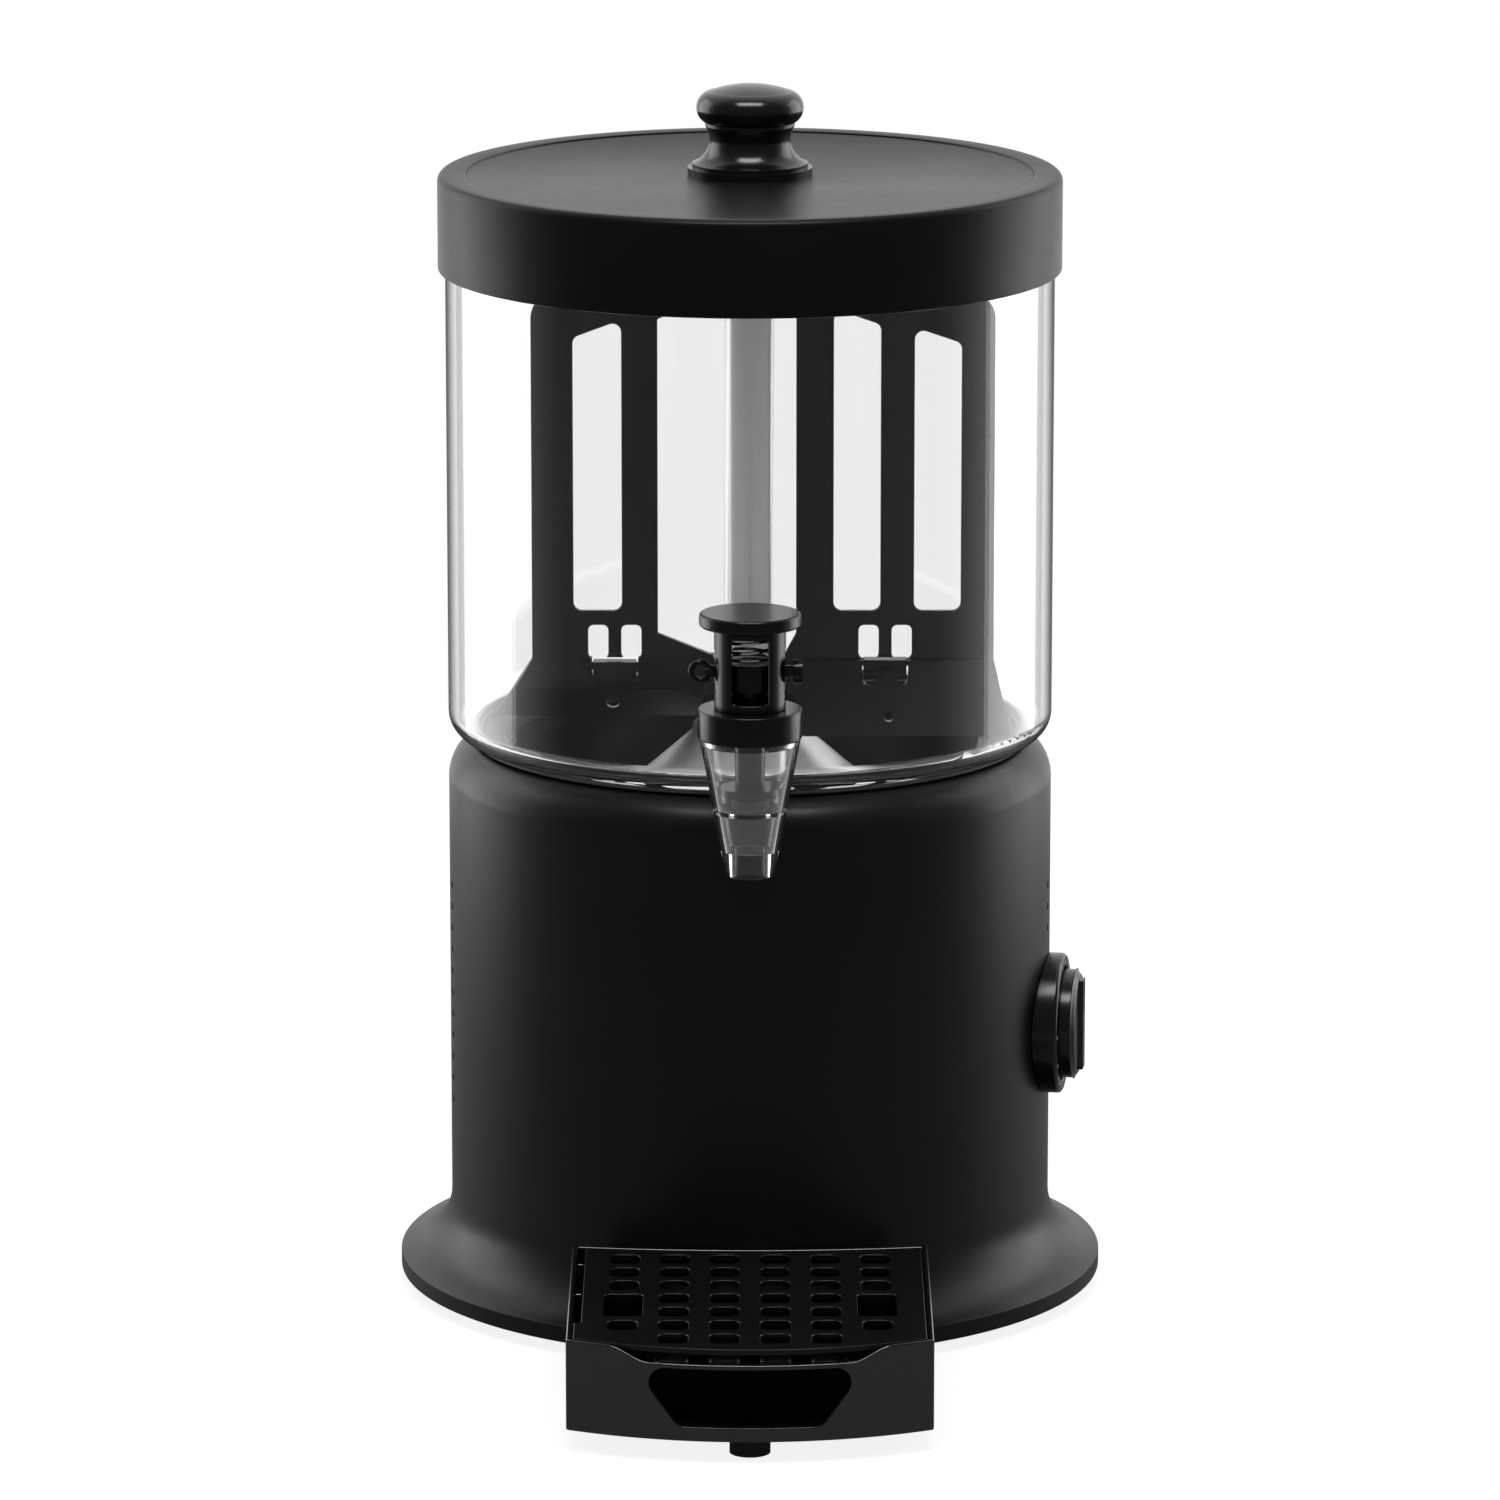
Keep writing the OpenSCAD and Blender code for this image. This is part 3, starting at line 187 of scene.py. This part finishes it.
pale = bpy.data.materials.new("counter_pale")
place = start(pale)
sheet = place.node("ShaderNodeBsdfPrincipled", values={
    "Base Color": (0.2, 0.2, 0.2, 1), "Roughness": 0.6, "Specular IOR Level": 0.2})
seen = place.math("MAXIMUM", path(place, "Is Camera Ray"), path(place, "Is Transmission Ray"))
seen = place.math("MAXIMUM", seen, path(place, "Is Glossy Ray") * GLOW_IN_GLOSS)
far = place.node("ShaderNodeVectorMath", {"operation": "LENGTH"}, {0: place}, "Value")
strength = seen * far.rise(NEAR_R, OPEN_R, GLOW_NEAR, 1.0)
glow = place.node("ShaderNodeEmission", values={"Color": (1, 1, 1, 1), "Strength": strength})
place.node("ShaderNodeOutputMaterial", values={
    "Surface": place.node("ShaderNodeAddShader", values={0: sheet, 1: glow})})
form = bmesh.new()
bmesh.ops.create_circle(form, cap_ends=True, segments=128, radius=COUNTER_R)
bmesh.ops.translate(form, verts=form.verts, vec=(0, 0, -COUNTER_DROP))
counter = finished(form, "counter", pale)


def softbox(name, spot, width, height, brightness):
    """A rectangular lamp at a spot that faces the middle of the dispenser."""
    lamp = bpy.data.lights.new(name, "AREA")
    lamp.shape = "RECTANGLE"
    lamp.size = width
    lamp.size_y = height
    lamp.energy = brightness * pi * width * height
    stand = bpy.data.objects.new(name, lamp)
    stand.location = spot
    facing = Vector((0, 0, 0.2)) - stand.location
    stand.rotation_euler = facing.to_track_quat("-Z", "Y").to_euler()
    scene.collection.objects.link(stand)


softbox("softbox_left", (-1.32, 0.7, 0.3), width=1.0, height=2.0, brightness=1.7)
softbox("softbox_right", (1.32, 0.7, 0.3), width=1.0, height=2.0, brightness=1.7)
softbox("softbox_over", (0, -0.6, 1.7), width=1.0, height=0.5, brightness=10)

# ---------------------------------------------------------------------------
# Housing: one black moulding with a flared foot, in a fine satin grain. Its
# edges are slightly rounded, as a mould leaves them, and the small holes at
# both sides let the heater's air through.
# ---------------------------------------------------------------------------
def noise(place, size, detail):
    """Cloudy noise from 0 to 1 whose blotches measure about size, in metres."""
    return place.node("ShaderNodeTexNoise", values={
        "Vector": place, "Scale": 1 / size, "Detail": detail})


def bump(height, depth, normal=None):
    """A normal for a relief that is depth metres high, laid over another if one is given."""
    values = {"Height": height, "Distance": depth, "Strength": 1.0}
    if normal:
        values["Normal"] = normal
    return height.node("ShaderNodeBump", values=values)


def finish(place, **looks):
    """Ends a material with its shader: each look is a socket's name with _ for a space."""
    shader = place.node("ShaderNodeBsdfPrincipled", values={
        key.replace("_", " "): value for key, value in looks.items()})
    place.node("ShaderNodeOutputMaterial", values={"Surface": shader})


def moulded_black(name, shade, roughness, grain, grain_depth, wave=0.0, shine=0.26, polish=0.0):
    """Black plastic in a shade, with a texture of a grain and sink marks as deep as wave.

    Shine is the strength of its gloss, and polish adds a clear one on top.
    """
    material = bpy.data.materials.new(name)
    place = start(material)
    smudge = noise(place, 45 * MM, 3)
    dust = noise(place, 4 * MM, 1)
    low = (shade, shade, shade * 1.08, 1)
    high = (shade * 1.7, shade * 1.7, shade * 1.8, 1)
    relief = bump(noise(place, grain, 1), grain_depth)
    if wave:
        relief = bump(noise(place, 20 * MM, 0), wave, normal=relief)
    finish(place, Base_Color=smudge.mix(low, high), Normal=relief,
           Roughness=smudge * 0.10 + dust * 0.05 + (roughness - 0.07),
           Specular_IOR_Level=shine, Coat_Weight=polish, Coat_Roughness=0.06)
    return material


def dress(material, *names):
    """Gives CAD parts their material."""
    for name in names:
        for holder in nodes[name].material_slots:
            holder.material = material


def rounded(node, body, material, edge, sharp=32):
    """Lays a copy over a CAD part: edges sharper than an angle, in degrees, get a small round."""
    form = bmesh.new()
    form.from_mesh(nodes[node].data)
    bmesh.ops.remove_doubles(form, verts=form.verts, dist=0.002 * MM)
    bmesh.ops.dissolve_limit(form, angle_limit=radians(0.6), verts=form.verts, edges=form.edges)
    piece = finished(form, node + "_rounded", material)
    piece.data.shade_smooth()
    soften = piece.modifiers.new("edge", "BEVEL")
    soften.width = edge
    soften.segments = 2
    soften.limit_method = "ANGLE"
    soften.angle_limit = radians(sharp)
    soften.use_clamp_overlap = False
    soften.loop_slide = False
    soften.miter_outer = "MITER_ARC"
    flats = piece.modifiers.new("flats", "WEIGHTED_NORMAL")
    flats.keep_sharp = True
    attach(piece, body)
    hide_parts(node)
    return piece


housing_black = moulded_black("housing_satin_black", shade=0.004, roughness=0.34,
                              grain=0.6 * MM, grain_depth=0.012 * MM)
rounded("base_housing", "base", housing_black, 0.4 * MM, sharp=40)


# ---------------------------------------------------------------------------
# Underside: a zinc-plated steel plate closes the housing, held by four screws
# and standing on four moulded rubber feet. A rubber gland at the back takes
# the mains lead.
# ---------------------------------------------------------------------------
def plated_steel(name, shade, spangle):
    """Zinc-plated steel with faint crystals of a size and fine rolling marks along X."""
    material = bpy.data.materials.new(name)
    place = start(material)
    cells = {"Vector": place, "Scale": 1 / spangle}
    crystal = place.node("ShaderNodeTexVoronoi", values=cells, output="Color")
    tone = place.node("ShaderNodeRGBToBW", values={0: crystal})
    drawn = place.node("ShaderNodeMapping", values={"Vector": place, "Scale": (30, 1400, 1400)})
    lines = place.node("ShaderNodeTexNoise", values={"Vector": drawn, "Scale": 1, "Detail": 2})
    low = (shade * 0.86, shade * 0.87, shade * 0.9, 1)
    high = (shade, shade, shade * 1.02, 1)
    finish(place, Base_Color=tone.mix(low, high), Metallic=1.0,
           Roughness=tone * 0.12 + lines * 0.1 + 0.26, Normal=bump(lines, 0.004 * MM))
    return material


def rubber(name, colour, roughness=0.75):
    """Moulded rubber or silicone: matte, with a powdery bloom."""
    material = bpy.data.materials.new(name)
    place = start(material)
    bloom = noise(place, 6 * MM, 4)
    pale = tuple(min(1, c * 1.8 + 0.006) for c in colour)
    finish(place, Base_Color=bloom.mix((*colour, 1), (*pale, 1)),
           Roughness=bloom * 0.15 + (roughness - 0.08),
           Normal=bump(noise(place, 0.4 * MM, 1), 0.01 * MM), Specular_IOR_Level=0.35)
    return material


zinc_sheet = plated_steel("zinc_sheet", 0.62, 9 * MM)
screw_zinc = plated_steel("screw_zinc", 0.7, 1.2 * MM)
black_rubber = rubber("black_rubber", (0.014, 0.014, 0.015))
dress(zinc_sheet, "base_plate")
dress(screw_zinc, "base_plate_screws", "pan_screws", "motor_screws", "lid_screw")
dress(black_rubber, "rubber_feet", "cord_gland")


# ---------------------------------------------------------------------------
# Drive and heat, inside the housing: a gear motor hangs from a bent steel
# bridge under the pan, a ring element is clamped to an aluminium plate, and
# a cutout, the thermostat and the terminal block sit beside them.
# ---------------------------------------------------------------------------
def cast_metal(name, colour, roughness, pit):
    """Cast or pressed metal with shallow pits of a size."""
    material = bpy.data.materials.new(name)
    place = start(material)
    pits = noise(place, pit, 4)
    dark = tuple(c * 0.8 for c in colour)
    finish(place, Base_Color=pits.mix((*dark, 1), (*colour, 1)), Metallic=1.0,
           Roughness=pits * 0.2 + (roughness - 0.1), Normal=bump(pits, 0.05 * MM))
    return material


gearbox_cast = cast_metal("gearbox_cast", (0.5, 0.51, 0.53), 0.5, 1.5 * MM)
heater_cast = cast_metal("heater_aluminium", (0.72, 0.72, 0.73), 0.42, 3 * MM)
motor_can = plated_steel("motor_can", 0.5, 20 * MM)

element_steel = bpy.data.materials.new("element_steel")
place = start(element_steel)
tint = noise(place, 18 * MM, 2)
GREY_HEAT = (0.34, 0.31, 0.30, 1)
STRAW_HEAT = (0.36, 0.24, 0.13, 1)
BLUE_HEAT = (0.17, 0.17, 0.27, 1)
heat = tint.node("ShaderNodeValToRGB", {"stops": [
    (0.3, GREY_HEAT), (0.5, STRAW_HEAT), (0.68, BLUE_HEAT)]}, {"Fac": tint})
finish(place, Base_Color=heat, Metallic=1.0, Roughness=tint * 0.2 + 0.3)

cutout_black = moulded_black("cutout_black", shade=0.03, roughness=0.4,
                             grain=1 * MM, grain_depth=0.01 * MM)
terminal_ivory = bpy.data.materials.new("terminal_ivory")
place = start(terminal_ivory)
age = noise(place, 10 * MM, 3)
finish(place, Base_Color=age.mix((0.72, 0.66, 0.52, 1), (0.84, 0.8, 0.69, 1)),
       Roughness=age * 0.1 + 0.4)

dress(zinc_sheet, "motor_bracket")
dress(gearbox_cast, "gearbox", "shaft_coupling")
dress(motor_can, "motor")
dress(heater_cast, "heater_plate")
dress(element_steel, "heater_element")
dress(cutout_black, "thermal_cutout", "thermostat_body")
dress(terminal_ivory, "terminal_block")


# ---------------------------------------------------------------------------
# Well and cone. The drink's warm well is a black-coated pan; from its middle
# rises a spun aluminium cone with the turning marks still on it, topped by a
# bright disc that carries the column.
# ---------------------------------------------------------------------------
def round_axis(place):
    """The distance from the upright axis, the angle round it and the height, as three wires."""
    apart = place.node("ShaderNodeSeparateXYZ", values={0: place})
    x, y, z = (Wire(apart.socket.node.outputs[k]) for k in range(3))
    return place.math("SQRT", x * x + y * y), place.math("ARCTAN2", y, x), z


pan_black = moulded_black("pan_nonstick_black", shade=0.0035, roughness=0.22,
                          grain=0.9 * MM, grain_depth=0.01 * MM, wave=0.03 * MM)
dress(pan_black, "heating_pan")

cone_satin = bpy.data.materials.new("cone_satin_aluminium")
place = start(cone_satin)
far, _, height = round_axis(place)
rings = place.node("ShaderNodeTexNoise", {"noise_dimensions": "1D"}, {
    "W": far * 2600 + height * 1700, "Detail": 3})
cloud = noise(place, 20 * MM, 3)
finish(place, Base_Color=cloud.mix((0.68, 0.68, 0.69, 1), (0.8, 0.8, 0.81, 1)), Metallic=0.8,
       Roughness=rings * 0.12 + cloud * 0.08 + 0.3, Normal=bump(rings, 0.012 * MM))
dress(cone_satin, "drive_cone")


# ---------------------------------------------------------------------------
# Column: a drawn stainless tube, polished along its length, with dark bushes
# at both ends. The ground drive shaft turns inside it.
# ---------------------------------------------------------------------------
def drawn_steel(name, shade, roughness, metallic=1.0):
    """Stainless steel polished along Z: fine upright lines all round."""
    material = bpy.data.materials.new(name)
    place = start(material)
    far, angle, height = round_axis(place)
    along = place.node("ShaderNodeCombineXYZ", values={0: angle * 90, 1: height * 14, 2: far * 60})
    lines = place.node("ShaderNodeTexNoise", values={"Vector": along, "Scale": 1, "Detail": 3})
    dull = (shade * 0.88, shade * 0.88, shade * 0.89, 1)
    finish(place, Base_Color=lines.mix(dull, (shade, shade, shade, 1)), Metallic=metallic,
           Roughness=lines * 0.1 + (roughness - 0.05), Normal=bump(lines, 0.004 * MM))
    return material


tube_steel = drawn_steel("tube_steel", 0.92, 0.3, 0.4)
shaft_steel = drawn_steel("shaft_steel", 0.66, 0.28)
bush_grey = moulded_black("bush_grey", shade=0.03, roughness=0.5,
                          grain=0.5 * MM, grain_depth=0.01 * MM)
seal_red = rubber("seal_red", (0.3, 0.05, 0.03), 0.5)
dress(tube_steel, "shaft_tube")
dress(shaft_steel, "output_shaft", "drive_shaft", "thermostat_spindle")
dress(bush_grey, "column_foot_bush", "column_top_bush")
dress(seal_red, "shaft_seal")

# ---------------------------------------------------------------------------
# Stirrer: the cap on the shaft carries a peg, and the moulded frame hangs on
# it by its tab. A scraper is clipped to each wing.
# ---------------------------------------------------------------------------
stirrer_black = moulded_black("stirrer_gloss_black", shade=0.0035, roughness=0.24,
                              grain=0.8 * MM, grain_depth=0.006 * MM, wave=0.04 * MM, shine=0.4)
dress(stirrer_black, "shaft_cap")
rounded("paddle_frame", "stirrer", stirrer_black, 0.4 * MM)
rounded("scraper_left", "stirrer", stirrer_black, 0.3 * MM)
rounded("scraper_right", "stirrer", stirrer_black, 0.3 * MM)


# ---------------------------------------------------------------------------
# Bowl: a clear cylinder with a rounded rim and a thick lip round its open
# foot, standing on a dark silicone seal.
# ---------------------------------------------------------------------------
def clear_plastic(name, tint, roughness, edge_shade, edge_from, edge_to):
    """Clear plastic with faint smudges, painted darker by edge_shade where it is seen edge-on.

    The edge runs between two values of facing, from 0, seen square on, to 1, seen along the
    wall. Light passes the plastic without a shadow.
    """
    material = bpy.data.materials.new(name)
    place = start(material)
    smudge = noise(place, 30 * MM, 3)
    low = (tint, tint, tint + 0.004, 1)
    high = (tint + 0.012, tint + 0.012, tint + 0.014, 1)
    clear = place.node("ShaderNodeBsdfPrincipled", values={
        "Base Color": smudge.mix(low, high), "Transmission Weight": 1.0, "IOR": 1.47,
        "Roughness": smudge * 0.02 + roughness})
    # A painted dark edge: opaque dark grey that stands in for shade along the wall's edges.
    painted_dark_edge = place.node("ShaderNodeBsdfPrincipled", values={
        "Base Color": (0.03, 0.032, 0.034, 1), "Roughness": 0.5, "Specular IOR Level": 0.0})
    facing = place.node("ShaderNodeLayerWeight", values={"Blend": 0.5}, output="Facing")
    wall = place.node("ShaderNodeMixShader", values={
        0: facing.rise(edge_from, edge_to, 0.0, edge_shade), 1: clear, 2: painted_dark_edge})
    through = place.node("ShaderNodeBsdfTransparent", values={"Color": (0.93, 0.935, 0.94, 1)})
    surface = place.node("ShaderNodeMixShader", values={
        0: path(place, "Is Shadow Ray"), 1: wall, 2: through})
    place.node("ShaderNodeOutputMaterial", values={"Surface": surface})
    return material


# The bowl's wall is painted dark grey where it is seen edge-on, a painted shade that outlines it.
bowl_clear = clear_plastic("bowl_clear", tint=0.966, roughness=0.0,
                           edge_shade=0.85, edge_from=0.68, edge_to=0.92)
silicone_dark = rubber("silicone_dark", (0.02, 0.02, 0.022), 0.6)
dress(bowl_clear, "bowl")
dress(silicone_dark, "bowl_seal")

# ---------------------------------------------------------------------------
# Tap: a black collar on the bowl, a caged stem that lifts a silicone plug off
# its seat, and a clear nozzle round it.
# ---------------------------------------------------------------------------
tap_black = moulded_black("tap_gloss_black", shade=0.003, roughness=0.2,
                          grain=0.9 * MM, grain_depth=0.004 * MM, wave=0.03 * MM, shine=0.32)
# The nozzle is painted dark grey over a wider band where it is seen edge-on, a painted shade.
nozzle_clear = clear_plastic("nozzle_clear", tint=0.975, roughness=0.01,
                             edge_shade=0.8, edge_from=0.4, edge_to=0.8)
spring_bright = drawn_steel("spring_bright", 0.75, 0.15)
dress(tap_black, "tap_cap", "tap_nut", "tap_stem", "tap_pin", "tap_clip")
rounded("tap_body", "bowl", tap_black, 0.6 * MM)
rounded("tap_cage", "bowl", tap_black, 0.4 * MM)
dress(silicone_dark, "tap_washers", "tap_plug")
dress(nozzle_clear, "tap_nozzle")

# The return spring: a closed turn at each end and two open ones between them. Its
# top stays under the cap.
WIRE = 1.2 * MM
TURN_STEPS = 64
coil_low, coil_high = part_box("tap_spring")
coil_mid = (coil_low + coil_high) / 2
coil_r = (coil_high.x - coil_low.x - WIRE) / 2
open_rise = (coil_high.z - coil_low.z - 3 * WIRE) / 2
form = bmesh.new()
wire_end = Vector((coil_mid.x + coil_r, coil_mid.y, coil_low.z + WIRE / 2))
section = bmesh.ops.create_circle(
    form, cap_ends=True, segments=12, radius=WIRE / 2,
    matrix=Matrix.Translation(wire_end) @ Matrix.Rotation(pi / 2, 4, "X"))
tip = section["verts"] + list({edge for vert in section["verts"] for edge in vert.link_edges})
for rise in (WIRE, open_rise, open_rise, WIRE):
    turn = bmesh.ops.spin(form, geom=tip, cent=coil_mid, axis=(0, 0, 1),
                          dvec=(0, 0, rise / TURN_STEPS), angle=tau, steps=TURN_STEPS)
    tip = [part for part in turn["geom_last"] if not isinstance(part, bmesh.types.BMFace)]
bmesh.ops.contextual_create(form, geom=tip)
bmesh.ops.recalc_face_normals(form, faces=form.faces)
spring = finished(form, "return_spring", spring_bright)
spring.data.shade_smooth()
spring.data.set_sharp_from_angle(angle=radians(60))
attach(spring, "bowl")
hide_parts("tap_spring")
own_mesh(spring)

# ---------------------------------------------------------------------------
# Lid: a satin black skirt over the bowl's rim with a smooth top, and a turned
# knob screwed to it from below.
# ---------------------------------------------------------------------------
lid_black = moulded_black("lid_satin_black", shade=0.004, roughness=0.34,
                          grain=0.6 * MM, grain_depth=0.01 * MM, shine=0.14)
knob_black = moulded_black("knob_gloss_black", shade=0.0035, roughness=0.2,
                           grain=0.8 * MM, grain_depth=0.004 * MM, shine=0.45)
TURNED_STEPS = 192
ROUND_STEP = 0.3 * MM


def turned(name, material, outline, rounds):
    """Turns a closed outline of (radius, height) corners round Z.

    Rounds gives some corners, by their number in the outline, the radius of their round.
    """
    form = bmesh.new()
    corners = [form.verts.new((radius, 0, height)) for radius, height in outline]
    edges = [form.edges.new((a, b)) for a, b in zip(corners, corners[1:] + corners[:1])]
    bmesh.ops.spin(form, geom=corners + edges, axis=(0, 0, 1), cent=(0, 0, 0), angle=tau,
                   steps=TURNED_STEPS, use_merge=True)
    bmesh.ops.remove_doubles(form, verts=form.verts, dist=0.000001)
    bmesh.ops.recalc_face_normals(form, faces=form.faces)
    for corner, radius in rounds:
        far, height = outline[corner]
        hoop = [edge for edge in form.edges if all(
            abs(v.co.z - height) < 1e-6 and abs(v.co.xy.length - far) < 1e-6 for v in edge.verts)]
        bmesh.ops.bevel(form, geom=hoop, offset=radius, affect="EDGES", profile=0.5, material=-1,
                        segments=max(2, round(radius / ROUND_STEP)))
    piece = finished(form, name, material)
    piece.data.shade_smooth()
    piece.data.set_sharp_from_angle(angle=radians(35))
    return piece


lid_low, lid_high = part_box("lid_shell")
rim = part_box("bowl")[1].z
lid_r = lid_high.x
skirt_r = lid_r - 1.9 * MM
crown_r = skirt_r - 1 * MM
hole_r = 1.5 * MM
recess_r = lid_r - 10 * MM
recess_z = lid_high.z - 0.6 * MM
ring_out, ring_in = lid_r - 6.5 * MM, lid_r - 8.4 * MM
ring_z = rim - 5 * MM
ledge_z = rim + 3 * MM
ceiling_z = recess_z - 2.5 * MM
lid = turned("lid", lid_black, [
    (hole_r, recess_z), (recess_r, recess_z), (recess_r, lid_high.z), (lid_r, lid_high.z),
    (lid_r, lid_low.z), (skirt_r, lid_low.z), (skirt_r, rim), (ring_out, rim),
    (ring_out, ring_z), (ring_in, ring_z), (ring_in, ledge_z), (crown_r, ledge_z),
    (crown_r, ceiling_z), (hole_r, ceiling_z)],
    [(3, 2.5 * MM), (1, 0.5 * MM), (2, 0.3 * MM), (4, 0.6 * MM), (5, 0.5 * MM), (8, 0.5 * MM),
     (9, 0.5 * MM)])
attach(lid, "lid")
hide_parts("lid_shell")
dress(knob_black, "lid_knob")

# ---------------------------------------------------------------------------
# Dial: a round gloss black knob in a raised bezel on the right of the housing.
# A white line on the knob points at ten painted dots that grow round the bezel.
# ---------------------------------------------------------------------------
dial_black = moulded_black("dial_gloss_black", shade=0.0035, roughness=0.24,
                           grain=0.8 * MM, grain_depth=0.006 * MM, shine=0.45)
rounded("dial_bezel", "base", dial_black, 0.5 * MM)
rounded("dial_knob", "dial", dial_black, 0.4 * MM)

mark_white = bpy.data.materials.new("mark_white")
place = start(mark_white)
speckle = noise(place, 0.8 * MM, 2)
finish(place, Base_Color=speckle.mix((0.72, 0.72, 0.7, 1), (0.82, 0.82, 0.8, 1)),
       Roughness=speckle * 0.1 + 0.42)
turn_joint = next(joint for joint in frame["joints"] if joint["name"] == "thermostat_turn")
dial_axis = Vector(turn_joint["axis"])
dial_foot = Vector((0, 0, sum(corner.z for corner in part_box("dial_bezel")) / 2))
PAINT = 0.2 * MM


def dial_marks(name, body, spots, lift):
    """Painted marks, lift metres out: a spot is (angle from 12 o'clock, radius, length, width)."""
    form = bmesh.new()
    upright = Matrix.Translation(dial_foot) @ dial_axis.to_track_quat("X", "Z").to_matrix().to_4x4()
    for angle, far, length, width in spots:
        spot = upright @ Matrix.Rotation(angle, 4, "X") @ Matrix.Translation((lift, 0, far))
        made = bmesh.ops.create_cube(
            form, size=1, matrix=spot @ Matrix.Diagonal((PAINT, width, length, 1)))
        corners = [e for e in {e for v in made["verts"] for e in v.link_edges}
                   if abs((e.verts[0].co - e.verts[1].co).length - PAINT) < 1e-7]
        bmesh.ops.bevel(form, geom=corners, offset=0.42 * width, affect="EDGES", segments=4,
                        profile=0.5, material=-1)
    piece = finished(form, name, mark_white)
    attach(piece, body)


# Both faces are given by their distance from the dispenser's upright axis.
DIAL_FACE = 117.55 * MM
BEZEL_FACE = 110.95 * MM
DOT_RING = 21.8 * MM
DOT_DEGREES = 30
pointer = [(0, 10.6 * MM, 12 * MM, 0.9 * MM)]
dot_sizes = [(0.7 + 0.08 * k) * MM for k in range(10)]
dots = [(-radians(DOT_DEGREES * k), DOT_RING, size, size) for k, size in enumerate(dot_sizes)]
dial_marks("dial_pointer", "dial", pointer, DIAL_FACE)
dial_marks("dial_scale", "base", dots, BEZEL_FACE)

# ---------------------------------------------------------------------------
# Drip tray: a high-gloss black moulded tub with a finger scoop, a perforated grid
# that lifts out and a rubber peg foot.
# ---------------------------------------------------------------------------
tray_black = moulded_black("tray_high_gloss_black", shade=0.003, roughness=0.16,
                           grain=1 * MM, grain_depth=0.004 * MM, wave=0.04 * MM,
                           shine=0.5, polish=1.0)
grid_black = moulded_black("grid_satin_black", shade=0.003, roughness=0.3,
                           grain=1 * MM, grain_depth=0.006 * MM, wave=0.02 * MM, shine=0.3)
# The finger recess has a matte grip finish and a painted shade: its colour is half the tub's.
recess_painted_shade = moulded_black("finger_recess_matte_painted_shade", shade=0.0015, roughness=0.6,
                             grain=0.5 * MM, grain_depth=0.02 * MM, shine=0.06)
tub = rounded("drip_tray", "tray", tray_black, 0.6 * MM)
rounded("drip_grid", "grid", grid_black, 0.4 * MM)

# The walls of the finger recess are matte, with painted shade: they are the faces that look at its middle.
tub.data.materials.append(recess_painted_shade)
recess = next(gap["box_m"] for gap in frame["record"]["physics"]["openings"]
              if gap["name"] == "finger_scoop")
middle = (Vector(recess[0]) + Vector(recess[1])) / 2
RECESS_REACH = Vector((35, 6.5, 12)) * MM
for face in tub.data.polygons:
    inward = middle - face.center
    near = all(abs(inward[k]) < RECESS_REACH[k] for k in range(3))
    if near and face.normal.dot(inward) > 0:
        face.material_index = 1
dress(black_rubber, "tray_peg")
